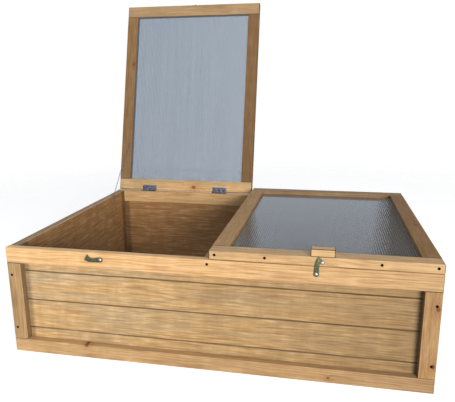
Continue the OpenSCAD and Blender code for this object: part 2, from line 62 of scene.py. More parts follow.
MM = 0.001
BODIES = frame["record"]["behaviour"]["bodies"]
BODY_OF = {node: body for body, nodes in BODIES.items() for node in nodes}
SLOT_OF = {part["node"]: part["material_slot"] for part in frame["record"]["subparts"]}
JOINT = {joint["name"]: joint for joint in frame["joints"]}
TIMBER_NODES = [node for node in BODY_OF if SLOT_OF[node] == "timber"]
HINGE = Vector(JOINT["left_lid_hinge"]["pos_m"])
OPEN_ANGLE = math.radians(JOINT["left_lid_hinge"]["range_deg"][1])


# ---- small helpers -------------------------------------------------------------------------

def linear(hex_colour):
    """An sRGB hex colour as linear red, green, blue and alpha."""
    channels = [int(hex_colour[i:i + 2], 16) / 255 for i in (1, 3, 5)]
    return tuple(c / 12.92 if c <= 0.04045 else ((c + 0.055) / 1.055) ** 2.4 for c in channels) + (1.0,)


# Node kinds, each with the settings it is used with.
(ADD, SUBTRACT, MULTIPLY, DIVIDE, MULTIPLY_ADD, LESS_THAN, COMPARE, ABSOLUTE, MAXIMUM, MINIMUM, MODULO,
 FRACT, COSINE, EXPONENT) = (("ShaderNodeMath", {"operation": name}) for name in (
     "ADD", "SUBTRACT", "MULTIPLY", "DIVIDE", "MULTIPLY_ADD", "LESS_THAN", "COMPARE", "ABSOLUTE", "MAXIMUM",
     "MINIMUM", "MODULO", "FRACT", "COSINE", "EXPONENT"))
VECTOR_ADD, VECTOR_SUBTRACT, VECTOR_MULTIPLY, VECTOR_SCALE, VECTOR_LENGTH = (
    ("ShaderNodeVectorMath", {"operation": name}) for name in ("ADD", "SUBTRACT", "MULTIPLY", "SCALE",
    "LENGTH"))
UNION, DIFFERENCE = (
    ("GeometryNodeMeshBoolean", {"operation": name, "solver": "EXACT"}) for name in ("UNION", "DIFFERENCE"))
STORE_AT_POINTS, STORE_ON_FACES = (
    ("GeometryNodeStoreNamedAttribute", {"data_type": "FLOAT_VECTOR", "domain": name}) for name in ("POINT",
    "FACE"))
MIX, MIX_COLOUR = "ShaderNodeMix", ("ShaderNodeMix", {"data_type": "RGBA"})
MAP_RANGE, NOISE, BUMP = "ShaderNodeMapRange", "ShaderNodeTexNoise", "ShaderNodeBump"
PRINCIPLED, READ, MIX_SHADER, BACKGROUND = (
    "ShaderNodeBsdfPrincipled", "ShaderNodeAttribute", "ShaderNodeMixShader", "ShaderNodeBackground")
SPLIT_XYZ, JOIN_XYZ = "ShaderNodeSeparateXYZ", "ShaderNodeCombineXYZ"
STORE, JOIN, PLACE = "GeometryNodeStoreNamedAttribute", "GeometryNodeJoinGeometry", "GeometryNodeTransform"
RECTANGLE, CONE = "GeometryNodeCurvePrimitiveQuadrilateral", "GeometryNodeMeshCone"
FILLET = ("GeometryNodeFilletCurve", {"mode": "POLY"})
ROW = ("GeometryNodeMeshLine", {"mode": "OFFSET"})
INSTANCES, SWITCH, GROUP = "GeometryNodeInstanceOnPoints", "GeometryNodeSwitch", "GeometryNodeGroup"
RANDOM = ("FunctionNodeRandomValue", {"data_type": "FLOAT"})


def add(tree, kind, *values, output=0, **settings):
    """Adds a node with its settings and links, and gives back one output, or the node for None.

    Values fill the inputs in order, a dict fills them by name, and a list goes into one input together."""
    kind, fixed = (kind, {}) if isinstance(kind, str) else kind
    node = tree.nodes.new(kind)
    for name, value in {**fixed, **settings}.items():
        setattr(node, name, value)
    inputs = {}
    for place, value in enumerate(values):
        inputs.update(value if isinstance(value, dict) else {place: value})
    for key, value in inputs.items():
        for source in value if isinstance(value, list) else [value]:
            if isinstance(source, bpy.types.NodeSocket):
                tree.links.new(source, node.inputs[key])
            else:
                node.inputs[key].default_value = source
    return node if output is None else node.outputs[output]


def span(points):
    """Lowest and highest corner round some points."""
    return (Vector([min(p[i] for p in points) for i in range(3)]),
            Vector([max(p[i] for p in points) for i in range(3)]))


def shut_matrix(body):
    """Turns a body's pieces from how they stand at rest to how they lie with the lids shut."""
    if body != "left_lid":
        return Matrix.Identity(4)
    pivot = Matrix.Translation(HINGE)
    return pivot @ Matrix.Rotation(OPEN_ANGLE, 4, "X") @ pivot.inverted()


def shut_box(node):
    """Lowest and highest corner of a CAD node with the lids shut."""
    turn = shut_matrix(BODY_OF[node])
    return span([turn @ vertex.co for vertex in frame["nodes"][node].data.vertices])


def new_piece(name, mesh):
    """An object at the origin holding a mesh whose place is in its points."""
    piece = bpy.data.objects.new(name, mesh)
    bpy.context.scene.collection.objects.link(piece)
    return piece


def stand_for(piece, nodes):
    """Lets a finished piece stand for CAD nodes of one body."""
    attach(piece, BODY_OF[nodes[0]])
    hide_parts(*nodes)


def merged_copy(node):
    """A bmesh of a CAD node with its loose triangles joined and its flats made whole."""
    shape = bmesh.new()
    shape.from_mesh(frame["nodes"][node].data)
    bmesh.ops.remove_doubles(shape, verts=shape.verts, dist=0.002 * MM)
    bmesh.ops.dissolve_limit(shape, angle_limit=math.radians(0.5), verts=shape.verts, edges=shape.edges)
    return shape


def solids_of(node):
    """The points of each separate solid in a CAD node, in the same order each run."""
    shape = bmesh.new()
    shape.from_mesh(frame["nodes"][node].data)
    bmesh.ops.remove_doubles(shape, verts=shape.verts, dist=0.002 * MM)
    waiting = set(shape.verts)
    solids = []
    for first in shape.verts:
        if first not in waiting:
            continue
        waiting.remove(first)
        front = [first]
        solid = []
        while front:
            vertex = front.pop()
            solid.append(vertex.co.copy())
            for edge in vertex.link_edges:
                other = edge.other_vert(vertex)
                if other in waiting:
                    waiting.remove(other)
                    front.append(other)
        solids.append(solid)
    shape.free()
    return sorted(solids, key=lambda points: [round(c, 4) for c in span(points)[0]])


def smooth_round_parts(mesh, angle=32):
    """Smooth shading that keeps every edge sharper than the angle."""
    mesh.shade_smooth()
    mesh.set_sharp_from_angle(angle=math.radians(angle))


# ---- geometry trees ------------------------------------------------------------------------

SOCKET = {float: "NodeSocketFloat", int: "NodeSocketInt", "geometry": "NodeSocketGeometry",
          "material": "NodeSocketMaterial"}


def new_tree(name, inputs):
    """A geometry tree with one geometry output, the function that adds nodes to it, and its named inputs."""
    tree = bpy.data.node_groups.new(name, "GeometryNodeTree")
    tree.interface.new_socket("Geometry", in_out="OUTPUT", socket_type="NodeSocketGeometry")
    for label, kind in inputs.items():
        tree.interface.new_socket(label, in_out="INPUT", socket_type=SOCKET[kind])
    return tree, functools.partial(add, tree), tree.nodes.new("NodeGroupInput").outputs


def end_tree(tree, geometry, material=None):
    """Closes a tree: Realize Instances, Set Material, output."""
    if material is not None:
        real = add(tree, "GeometryNodeRealizeInstances", {"Geometry": geometry})
        geometry = add(tree, "GeometryNodeSetMaterial", {"Geometry": real, "Material": material})
    add(tree, "NodeGroupOutput", {"Geometry": geometry}, output=None)
    return tree


def grow(name, tree, inputs, place, start=None):
    """Runs a tree with its named inputs and keeps the result as a plain mesh, put in its place."""
    piece = new_piece(name, start or bpy.data.meshes.new(name))
    modifier = piece.modifiers.new("grow", "NODES")
    modifier.node_group = tree
    for item in tree.interface.items_tree:
        if item.item_type == "SOCKET" and item.in_out == "INPUT" and item.name in inputs:
            modifier[item.identifier] = inputs[item.name]
    graph = bpy.context.evaluated_depsgraph_get()
    mesh = bpy.data.meshes.new_from_object(
        piece.evaluated_get(graph), preserve_all_data_layers=True, depsgraph=graph)
    piece.modifiers.clear()
    mesh.transform(place)
    piece.data = mesh
    return piece


# Distance within which a prism's points are welded.
WELD = 0.005 * MM
# The smallest bevel on a board's corner, and the play of a tongue in its groove.
CORNER_EASE = 0.3 * MM
# A tongue's thickness as a share of its board's, and how much darker the Vs and the sawn ends are.
TONGUE_SHARE = 0.28
V_STAIN = 1.1
END_STAIN = 0.35


def prism_tree():
    """Fills a closed outline in the XY plane and pulls it along +Z into a closed solid."""
    tree, put, given = new_tree("Prism", {"Outline": "geometry", "Length": float})
    base = put("GeometryNodeFillCurve", {"Curve": given["Outline"]}, mode="TRIANGLES")
    offset = put(JOIN_XYZ, {"Z": given["Length"]})
    pulled = put("GeometryNodeExtrudeMesh", {"Mesh": base, "Offset": offset, "Offset Scale": 1.0,
        "Individual": False})
    bottom = put("GeometryNodeFlipFaces", {"Mesh": base})
    joined = put(JOIN, [pulled, bottom])
    closed = put("GeometryNodeMergeByDistance", {"Geometry": joined, "Distance": WELD})
    return end_tree(tree, closed)


def boarded_wall_tree(prism):
    """Tongue-and-groove boards stacked along +Y, length along +Z, outer face towards -X."""
    tree, put, given = new_tree("Boarded wall", {
        "Boards": int, "Length": float, "First Joint": float, "Cover Width": float, "Top Edge": float,
        "Thickness": float, "V Depth": float, "Tongue": float, "Gap": float, "Seed": int,
        "Weathering": float, "End Weathering": float, "Inner Stain": float, "Tone": float,
        "End Tone": float, "Material": "material"})
    first_node = put("GeometryNodeRepeatInput", output=None)
    last_node = put("GeometryNodeRepeatOutput", output=None)
    first_node.pair_with_output(last_node)
    tree.links.new(given["Boards"], first_node.inputs["Iterations"])
    index = first_node.outputs["Iteration"]
    top_index = put(SUBTRACT, given["Boards"], 1.0)
    is_bottom = put(LESS_THAN, index, 0.5)
    is_top = put(COMPARE, index, top_index, 0.5)

    half_gap = put(MULTIPLY, given["Gap"], 0.5)
    joint_above = put(MULTIPLY_ADD, index, given["Cover Width"], given["First Joint"])
    joint_below = put(SUBTRACT, joint_above, given["Cover Width"])
    upper = put(SUBTRACT, joint_above, half_gap)
    lower = put(ADD, joint_below, half_gap)
    high = put(SWITCH, {"Switch": is_top, "False": upper, "True": given["Top Edge"]}, input_type="FLOAT")
    low = put(SWITCH, {"Switch": is_bottom, "False": lower, "True": 0.0}, input_type="FLOAT")
    height = put(SUBTRACT, high, low)
    total = put(ADD, high, low)
    middle = put(MULTIPLY, total, 0.5)

    # The V is cut on the outer corners that meet another board.
    corner = put(SPLIT_XYZ, put("GeometryNodeInputPosition"), output=None).outputs
    is_outer = put(LESS_THAN, corner["X"], 0.0)
    is_low = put(LESS_THAN, corner["Y"], 0.0)
    is_high = put(SUBTRACT, 1.0, is_low)
    plain_low = put(MULTIPLY, is_low, is_bottom)
    plain_high = put(MULTIPLY, is_high, is_top)
    cut_one = put(SUBTRACT, is_outer, plain_low)
    cut = put(SUBTRACT, cut_one, plain_high, use_clamp=True)
    radius = put(MULTIPLY_ADD, cut, given["V Depth"], CORNER_EASE)
    outline = put(RECTANGLE, given["Thickness"], height)
    eased = put(FILLET, {"Curve": outline, "Count": 1, "Radius": radius})
    lift = put(JOIN_XYZ, {"Y": middle})
    lifted = put(PLACE, eased, {"Translation": lift})
    board = put(GROUP, lifted, given["Length"], node_tree=prism)

    def lath(at, play):
        """A square lath on the joint: the tongue, or the room cut for it."""
        thick = put(MULTIPLY_ADD, given["Thickness"], TONGUE_SHARE, play)
        deep = put(MULTIPLY_ADD, given["Tongue"], 2.0, play)
        square = put(RECTANGLE, thick, deep)
        shift = put(JOIN_XYZ, {"Y": at})
        placed = put(PLACE, square, {"Translation": shift})
        return put(GROUP, placed, given["Length"], node_tree=prism)

    tongue = put(SWITCH, {"Switch": is_top, "False": lath(high, 0.0)}, input_type="GEOMETRY")
    groove = put(SWITCH, {"Switch": is_bottom, "False": lath(low, CORNER_EASE)}, input_type="GEOMETRY")
    with_tongue = put(UNION, {"Mesh 2": [board, tongue]})
    grooved = put(DIFFERENCE, {"Mesh 1": with_tongue, "Mesh 2": groove})

    def chance(least, most, step):
        """One random number for each board."""
        seed = put(ADD, given["Seed"], float(step))
        return put(RANDOM, {"Min": least, "Max": most, "ID": index, "Seed": seed}, output="Value")

    # Where each point lies in its log: along, across, and out from the pith.
    spot = put(SPLIT_XYZ, put("GeometryNodeInputPosition"), output=None).outputs
    log_along = chance(3.0, 40.0, 0)
    log_across = chance(-0.03, 0.03, 1)
    across = put(SUBTRACT, spot["Y"], middle)
    along_log = put(ADD, spot["Z"], log_along)
    across_log = put(ADD, across, log_across)
    out_log = put(ADD, spot["X"], chance(0.02, 0.06, 2))
    grain = put(JOIN_XYZ, along_log, across_log, out_log)
    share = put(DIVIDE, spot["Z"], given["Length"])
    # The tone runs from one end to the other; on the front wall this is painted light, lighter to the left.
    change = put(SUBTRACT, given["End Tone"], given["Tone"])
    tone_here = put(MULTIPLY_ADD, share, change, given["Tone"])
    tone = put(MULTIPLY, tone_here, chance(0.95, 1.04, 3))
    fading = put(SUBTRACT, given["End Weathering"], given["Weathering"])
    weathering = put(MULTIPLY_ADD, share, fading, given["Weathering"])
    state = put(JOIN_XYZ, tone, weathering)
    knot_along = put(MULTIPLY_ADD, given["Length"], chance(0.1, 0.9, 4), log_along)
    knot_across = put(ADD, log_across, chance(-0.03, 0.03, 5))
    knot_size = put(MAXIMUM, chance(-6 * MM, 6 * MM, 6), 0.0)
    knot = put(JOIN_XYZ, knot_along, knot_across, knot_size)

    # Distance from each end, read by the painted shade beside the posts.
    far = put(SUBTRACT, given["Length"], spot["Z"])
    ends = put(JOIN_XYZ, spot["Z"], far)

    # Stain pools in the Vs and on the sawn ends; only the outer face weathers.
    normal = put(SPLIT_XYZ, put("GeometryNodeInputNormal"), output=None).outputs
    slant = put(ABSOLUTE, put(MULTIPLY, normal["X"], normal["Y"]))
    sawn = put(ABSOLUTE, normal["Z"])
    pooled = put(MULTIPLY_ADD, slant, V_STAIN, put(MULTIPLY, sawn, END_STAIN))
    left = put(SUBTRACT, 1.0, pooled, use_clamp=True)
    outside = put(MULTIPLY, normal["X"], -1.0)
    exposed = put(MAXIMUM, outside, 0.0)
    # Inner faces take the deep colour: a darker stain, and painted shade for the box's shaded inside.
    inside = put(MAXIMUM, normal["X"], 0.0)
    stained = put(MULTIPLY, inside, given["Inner Stain"])
    finish = put(JOIN_XYZ, left, exposed, stained)

    board = grooved
    for kind, name, value in (
            (STORE_AT_POINTS, "grain", grain), (STORE_AT_POINTS, "state", state),
            (STORE_ON_FACES, "knot_a", knot), (STORE_AT_POINTS, "ends", ends),
            (STORE_ON_FACES, "finish", finish)):
        board = put(kind, {"Geometry": board, "Name": name, "Value": value})
    stack = put(JOIN, [board, first_node.outputs["Geometry"]])
    tree.links.new(stack, last_node.inputs["Geometry"])
    return end_tree(tree, last_node.outputs["Geometry"], given["Material"])


def twin_wall_tree(prism):
    """A sheet of two skins joined by ribs: width along X, thickness along Y, length along +Z."""
    tree, put, given = new_tree("Twin-wall sheet", {
        "Width": float, "Length": float, "Thickness": float, "Skin": float, "Channels": int,
        "Material": "material"})
    inner = put(SUBTRACT, given["Width"], given["Skin"])
    pitch = put(DIVIDE, inner, given["Channels"])
    wide = put(SUBTRACT, pitch, given["Skin"])
    skins = put(MULTIPLY, given["Skin"], 2.0)
    tall = put(SUBTRACT, given["Thickness"], skins)
    outer = put(RECTANGLE, given["Width"], given["Thickness"])
    channel = put(RECTANGLE, wide, tall)
    left_gap = put(SUBTRACT, pitch, inner)
    start_x = put(MULTIPLY, left_gap, 0.5)
    start = put(JOIN_XYZ, {"X": start_x})
    step = put(JOIN_XYZ, {"X": pitch})
    row = put(ROW, {"Count": given["Channels"], "Start Location": start, "Offset": step})
    channels = put(INSTANCES, {"Points": row, "Instance": channel})
    loose = put("GeometryNodeRealizeInstances", {"Geometry": channels})
    outlines = put(JOIN, [outer, loose])
    solid = put(GROUP, outlines, given["Length"], node_tree=prism)
    normal = put(SPLIT_XYZ, put("GeometryNodeInputNormal"), output=None).outputs
    sideways = put(ABSOLUTE, normal["X"])
    ribbed = put(STORE, {"Geometry": solid, "Name": "rib", "Value": sideways}, data_type="FLOAT",
        domain="FACE")
    spot = put(SPLIT_XYZ, put("GeometryNodeInputPosition"), output=None).outputs
    half = put(MULTIPLY, inner, 0.5)
    from_rib = put(ADD, spot["X"], half)
    count = put(DIVIDE, from_rib, pitch)
    counted = put(STORE, {"Geometry": ribbed, "Name": "channel", "Value": count}, data_type="FLOAT",
        domain="POINT")
    return end_tree(tree, counted, given["Material"])


def chain_tree():
    """Welded links hung along Y, every other one turned a quarter, from the far end back to the pivot."""
    tree, put, given = new_tree("Welded chain", {
        "Links": int, "Pitch": float, "Reach": float, "Wire Radius": float, "Bend Radius": float,
        "Link Length": float, "Material": "material"})
    width = put(MULTIPLY, given["Bend Radius"], 2.0)
    loop = put(RECTANGLE, width, given["Link Length"])
    bend = put(MULTIPLY, given["Bend Radius"], 0.98)
    bent = put(FILLET, {"Curve": loop, "Count": 5, "Radius": bend})
    wire = put("GeometryNodeCurvePrimitiveCircle", {"Resolution": 8, "Radius": given["Wire Radius"]})
    link = put("GeometryNodeCurveToMesh", {"Curve": bent, "Profile Curve": wire})
    smooth = put("GeometryNodeSetShadeSmooth", {"Geometry": link, "Shade Smooth": True})
    back = put(MULTIPLY, given["Pitch"], -1.0)
    step = put(JOIN_XYZ, {"Y": back})
    start = put(JOIN_XYZ, {"Y": given["Reach"]})
    row = put(ROW, {"Count": given["Links"], "Start Location": start, "Offset": step})
    index = put("GeometryNodeInputIndex")
    odd = put(MODULO, index, 2.0)
    turn = put(MULTIPLY_ADD, odd, -math.pi / 2, math.pi / 2)
    angles = put(JOIN_XYZ, {"Y": turn})
    turned = put("FunctionNodeEulerToRotation", {"Euler": angles})
    links = put(INSTANCES, {"Points": row, "Instance": smooth, "Rotation": turned})
    return end_tree(tree, links, given["Material"])


# Screws: the point, its overlap with the shank, and the width, depth and reach of the cross.
TIP_L = 3 * MM
TIP_R = 0.3 * MM
TIP_OVERLAP = 0.2 * MM
SLOT_W = 0.65 * MM
SLOT_DEPTH = 1.6 * MM
SLOT_REACH = 1.15


def screws_tree():
    """A cross-head screw on every point, driven along the point's aim and turned at random about it."""
    tree, put, given = new_tree("Cross-head screws", {
        "Points": "geometry", "Face Radius": float, "Neck Radius": float, "Head Height": float,
        "Shank Radius": float, "Length": float, "Seed": int, "Material": "material"})
    head = put(CONE, {"Vertices": 28, "Radius Bottom": given["Face Radius"],
        "Radius Top": given["Neck Radius"], "Depth": given["Head Height"]})
    shank_l = put(SUBTRACT, given["Length"], TIP_L)
    shank = put(CONE, {"Vertices": 20, "Radius Bottom": given["Shank Radius"],
        "Radius Top": given["Shank Radius"], "Depth": shank_l})
    tip = put(CONE, {"Vertices": 20, "Radius Bottom": given["Shank Radius"], "Radius Top": TIP_R,
        "Depth": TIP_L + TIP_OVERLAP})
    tip_z = put(SUBTRACT, shank_l, TIP_OVERLAP)
    tip_at = put(JOIN_XYZ, {"Z": tip_z})
    tip_placed = put(PLACE, tip, {"Translation": tip_at})
    whole = put(UNION, {"Mesh 2": [head, shank, tip_placed]})
    recess_l = put(MULTIPLY, given["Face Radius"], SLOT_REACH)
    blades = []
    for axis in ("X", "Y"):
        size = put(JOIN_XYZ, {"X": SLOT_W, "Y": SLOT_W, "Z": SLOT_DEPTH, axis: recess_l})
        blades.append(put("GeometryNodeMeshCube", {"Size": size}))
    recessed = put(DIFFERENCE, {"Mesh 1": whole, "Mesh 2": blades})
    aim = put("GeometryNodeInputNamedAttribute", {"Name": "aim"}, data_type="FLOAT_VECTOR")
    aimed = put("FunctionNodeAlignRotationToVector", {"Vector": aim}, axis="Z")
    spin = put(RANDOM, {"Min": 0.0, "Max": math.pi, "Seed": given["Seed"]}, output="Value")
    spun = put("FunctionNodeAxisAngleToRotation", {"Axis": (0.0, 0.0, 1.0), "Angle": spin})
    turned = put("FunctionNodeRotateRotation", {"Rotation": aimed, "Rotate By": spun},
        rotation_space="LOCAL")
    screws = put(INSTANCES, {"Points": given["Points"], "Instance": recessed, "Rotation": turned})
    return end_tree(tree, screws, given["Material"])


# ---- materials -----------------------------------------------------------------------------

def new_material(name):
    """An empty node material and the function that adds nodes to it."""
    material = bpy.data.materials.get(name) or bpy.data.materials.new(name)
    material.use_nodes = True
    material.node_tree.nodes.clear()
    return material, functools.partial(add, material.node_tree)


def end_material(material, surface):
    """Closes a material with its surface."""
    add(material.node_tree, "ShaderNodeOutputMaterial", {"Surface": surface}, output=None)
    return material


def set_stops(ramp_node, stops):
    """Sets a colour ramp's stops: a list of (position, grey value)."""
    ramp = ramp_node.color_ramp
    while len(ramp.elements) < len(stops):
        ramp.elements.new(0.5)
    for element, (position, value) in zip(ramp.elements, stops):
        element.position = position
        element.color = (value, value, value, 1.0)


# Knots: how fast the halo falls off, how far it pushes the rings, and how dark it is.
HALO_FALL = -0.12
HALO_PUSH = 1.8
HALO_DEPTH = 0.55


def knot_marks(put, grain, attribute):
    """How far a branch pushes the rings aside, where its heart shows and how its dark halo fades."""
    seat = put(READ, output="Vector", attribute_name=attribute)
    size = put(SPLIT_XYZ, seat, output="Z")
    offset = put(VECTOR_SUBTRACT, grain, seat)
    flat = put(VECTOR_MULTIPLY, offset, (0.75, 1.0, 0.0))
    away = put(VECTOR_LENGTH, flat, output="Value")
    ratio = put(DIVIDE, away, put(MAXIMUM, size, 0.01 * MM))
    hill = put(EXPONENT, put(MULTIPLY, put(MULTIPLY, ratio, ratio), HALO_FALL))
    push = put(MULTIPLY, put(MULTIPLY, hill, size), HALO_PUSH)
    heart = put(MAP_RANGE, ratio, 1.0, 0.7)
    return push, heart, hill


# Noise in the log: its scale along, across and through the grain per metre, its detail and roughness.
GRAIN_NOISE = {
    "wander": ((2.4, 8.0, 8.0), 2.0, 0.5),
    "fade": ((6.0, 30.0, 30.0), 3.0, 0.5),
    "fibre": ((16.0, 420.0, 420.0), 3.0, 0.6),
    "streak": ((7.0, 240.0, 240.0), 3.0, 0.65),
    "patch": ((3.0, 24.0, 24.0), 4.0, 0.6),
    "fleck": ((17.0, 150.0, 150.0), 3.0, 0.6),
    "figure": ((26.0, 7.0, 7.0), 3.0, 0.6),
}
# How dark a ring is through one year's growth.
RING_STOPS = [(0.0, 0.15), (0.25, 0.0), (0.62, 0.45), (0.86, 1.0), (1.0, 0.15)]


def pine(name, look):
    """Planed pine under a honey stain: growth rings sawn through at a slant give arched figure on the
    wide faces and plain lines on the edges; the stain lies thicker and darker in the late wood, in the
    knots and on the end grain, and wears to pale flecks and grey patches along the grain. Painted shade
    darkens the bores, the posts' inward faces, the boards beside the posts and the box's inside, and
    painted light makes the front pieces lighter to the left."""
    material, put = new_material(name)
    grain = put(READ, output="Vector", attribute_name="grain")
    state, finish, ends = (
        put(SPLIT_XYZ, put(READ, output="Vector", attribute_name=read), output=None).outputs
        for read in ("state", "finish", "ends"))
    cloud = {}
    for kind, (stretch, detail, roughness) in GRAIN_NOISE.items():
        place = put(VECTOR_MULTIPLY, grain, stretch)
        cloud[kind] = put(NOISE, {"Vector": place, "Scale": 1.0, "Detail": detail, "Roughness": roughness},
            output=None).outputs

    # The log's centre line wanders slowly, which bends the rings into arches.
    centred = put(VECTOR_SUBTRACT, cloud["wander"]["Color"], (0.5, 0.5, 0.5))
    swing = put(VECTOR_MULTIPLY, centred, (0.0, look.wander, look.wander))
    bent = put(VECTOR_ADD, grain, swing)
    radial = put(VECTOR_MULTIPLY, bent, (0.0, 1.0, 1.0))
    radius = put(VECTOR_LENGTH, radial, output="Value")
    knots = [knot_marks(put, grain, attribute) for attribute in ("knot_a", "knot_b")]
    for push, heart, hill in knots:
        radius = put(ADD, radius, push)
    year = put(FRACT, put(DIVIDE, radius, look.ring_width))
    ramp = put("ShaderNodeValToRGB", {"Fac": year}, output=None)
    set_stops(ramp, RING_STOPS)
    late = ramp.outputs[0]

    # Each mark is a cloud of noise between two of its values, with the strength at each.
    depth = look.contrast
    fade, streaked, patched, flecked, figured, rough, *shades = (
        put(MAP_RANGE, cloud[kind]["Fac"], *limits) for kind, *limits in (
            ("fade", 0.38, 0.62, 0.25, 1.0),
            ("streak", 0.5, 0.72, 0.0, look.streaks),
            ("patch", 0.4, 0.58, 0.25, 1.0),
            ("fleck", 0.5, 0.72, 0.0, 1.0),
            ("figure", 0.36, 0.62, 0.15, 1.0),
            ("streak", 0.3, 0.7, 0.55, 0.75),
            ("streak", 0.28, 0.62, 1.0 + 0.4 * depth, 1.0 - depth),
            ("fleck", 0.3, 0.62, 1.0 - depth, 1.0 + 0.5 * depth),
            ("figure", 0.3, 0.7, 1.0 - 0.6 * depth, 1.0 + 0.6 * depth),
            ("fibre", 0.3, 0.7, 0.88, 1.1)))
    ringed = put(MULTIPLY, put(MULTIPLY, late, fade), look.ring_depth)
    bleached = put(MULTIPLY, patched, put(MULTIPLY, finish["Y"], state["Y"]))
    wear = put(MAP_RANGE, state["Y"], 0.0, 1.0, 0.45, 1.1)
    pale = put(MULTIPLY, put(MULTIPLY, flecked, figured), wear)
    worn = put(MULTIPLY, pale, look.flecks)
    # Painted shade: the boards darken towards their ends beside the posts, where the corners lie in shade.
    to_end = put(MINIMUM, ends["X"], ends["Y"])
    clean = put(MAP_RANGE, to_end, look.corner_start, look.corner_end, 1.0 - look.corner_stain, 1.0)
    # Face shade and piece tone, holding painted shade and painted light as well as stain.
    tone = put(MULTIPLY, finish["X"], state["X"])

    # A coat with a tint is laid over the colour by its factor; one without makes it lighter or darker.
    # The deep coat is partly painted shade.
    coats = [(ringed, look.late_wood), (streaked, look.late_wood), (bleached, look.weathered),
             (finish["Z"], look.deep), (worn, look.worn)]
    coats += [(shade, None) for shade in shades]
    for push, heart, hill in knots:
        coats += [(put(MULTIPLY, hill, HALO_DEPTH), look.late_wood), (heart, look.knot)]
    # The last two shades are painted shade beside the posts and each piece's tone with its painted light and
    # shade.
    coats += [(clean, None), (tone, None)]
    colour = look.early_wood
    for factor, tint in coats:
        if tint is None:
            colour = put(VECTOR_SCALE, colour, {"Scale": factor})
        else:
            colour = put(MIX_COLOUR, {"Factor": factor, "A": colour, "B": tint}, output="Result")

    relief = put(MULTIPLY_ADD, late, 0.6, cloud["fibre"]["Fac"])
    bump = put(BUMP, {"Height": relief, "Strength": 0.5, "Distance": 0.4 * MM})
    surface = put(PRINCIPLED, {"Base Color": colour, "Roughness": rough, "Normal": bump})
    return end_material(material, surface)


# Patches of the plating are some 4 mm across and its grit about 0.5 mm, as counts per metre.
SPANGLES = 260.0
GRITS = 2200.0


def zinc_plate(name, colour, patina, roughness):
    """Steel stamped and zinc plated: a soft grey metal lustre with cloudy spangle and dull patches."""
    material, put = new_material(name)
    place = put("ShaderNodeTexCoord", output="Object")
    cloud = put(NOISE, {"Vector": place, "Scale": SPANGLES, "Detail": 4.0})
    dull = put(MAP_RANGE, cloud, 0.42, 0.62)
    tint = put(MIX_COLOUR, {"Factor": dull, "A": colour, "B": patina}, output="Result")
    rough = put(MAP_RANGE, cloud, 0.3, 0.7, roughness - 0.08, roughness + 0.12)
    grit = put(NOISE, {"Vector": place, "Scale": GRITS, "Detail": 2.0})
    bump = put(BUMP, {"Height": grit, "Strength": 0.25, "Distance": 0.05 * MM})
    surface = put(PRINCIPLED, {"Base Color": tint, "Roughness": rough, "Normal": bump, "Metallic": 1.0})
    return end_material(material, surface)


def polycarbonate(name, look):
    """Extruded twin-wall polycarbonate: thin clear skins with a blue-grey cast that mirror their surroundings, and
    seen at a low angle turn opaque with a smoky tint painted in as reflection and shade; ribs between them show as
    fine lines painted lighter as a highlight."""
    material, put = new_material(name)
    place = put("ShaderNodeTexCoord", output="Object")
    stretched = put(VECTOR_MULTIPLY, place, (60.0, 2.0, 2.0))
    die = put(NOISE, {"Vector": stretched, "Scale": 1.0, "Detail": 3.0, "Roughness": 0.5})
    rib = put(READ, output="Fac", attribute_name="rib")
    channel = put(READ, output="Fac", attribute_name="channel")
    # The ribs and the lines over them are painted lighter, a painted highlight along each rib.
    wave = put(COSINE, put(MULTIPLY, channel, 2 * math.pi))
    line = put(MAP_RANGE, wave, 0.5, 1.0, 0.0, look.line_strength)
    mark = put(MAXIMUM, rib, line)
    facing = put("ShaderNodeLayerWeight", {"Blend": 0.5}, output="Facing")
    steep = put(MULTIPLY, facing, facing)
    skin_cover = put(MAP_RANGE, steep, 0.0, 1.0, look.cover, look.edge_cover)
    cover = put(MIX, {"Factor": mark, "A": skin_cover, "B": look.rib_cover}, output="Result")
    alpha = put(MULTIPLY, cover, put(MAP_RANGE, die, 0.35, 0.65, 0.97, 1.03))
    # Painted reflection and shade: seen edge on, the skins turn opaque and smoky, standing in for the dim
    # surroundings they mirror and the shaded inside they show.
    smoky = put(MAP_RANGE, facing, 0.35, 0.7)
    skin = put(MIX_COLOUR, {"Factor": smoky, "A": look.cast, "B": look.edge_cast}, output="Result")
    colour = put(MIX_COLOUR, {"Factor": mark, "A": skin, "B": look.rib_colour}, output="Result")
    ripple = put(MULTIPLY, steep, 0.7)
    bump = put(BUMP, {"Height": wave, "Strength": ripple, "Distance": 0.15 * MM})
    surface = put(PRINCIPLED, {"Base Color": colour, "Alpha": alpha, "Normal": bump,
        "Roughness": look.roughness, "IOR": 1.58})
    return end_material(material, surface)


def studio_floor(name, look):
    """Matt pale board that fades out into the white backdrop and keeps the object's soft shadow."""
    material, put = new_material(name)
    place = put("ShaderNodeTexCoord", output="Object")
    reach = put(VECTOR_LENGTH, place, output="Value")
    fade = put(MAP_RANGE, reach, 0.45 * look.floor_radius, 0.97 * look.floor_radius,
        interpolation_type="SMOOTHSTEP")
    board = put(PRINCIPLED, {"Base Color": look.floor_colour, "Roughness": 0.9})
    glow = put("ShaderNodeEmission", {"Color": linear("#FFFFFF"), "Strength": look.floor_lift})
    seen = put("ShaderNodeLightPath", output="Is Camera Ray")
    lifted = put("ShaderNodeAddShader", board, glow)
    floor = put(MIX_SHADER, seen, board, lifted)
    clear = put("ShaderNodeBsdfTransparent")
    return end_material(material, put(MIX_SHADER, fade, floor, clear))


# ---- sizes and colours ---------------------------------------------------------------------

def colour_property(name, description, hex_colour):
    """A colour that a user may change."""
    return bpy.props.FloatVectorProperty(
        name=name, description=description, subtype="COLOR", size=4, min=0.0, max=1.0,
        default=linear(hex_colour))


def length_property(name, description, millimetres):
    """A length that a user may change."""
    return bpy.props.FloatProperty(
        name=name, description=description, default=millimetres * MM, min=0.0, unit="LENGTH", precision=4)


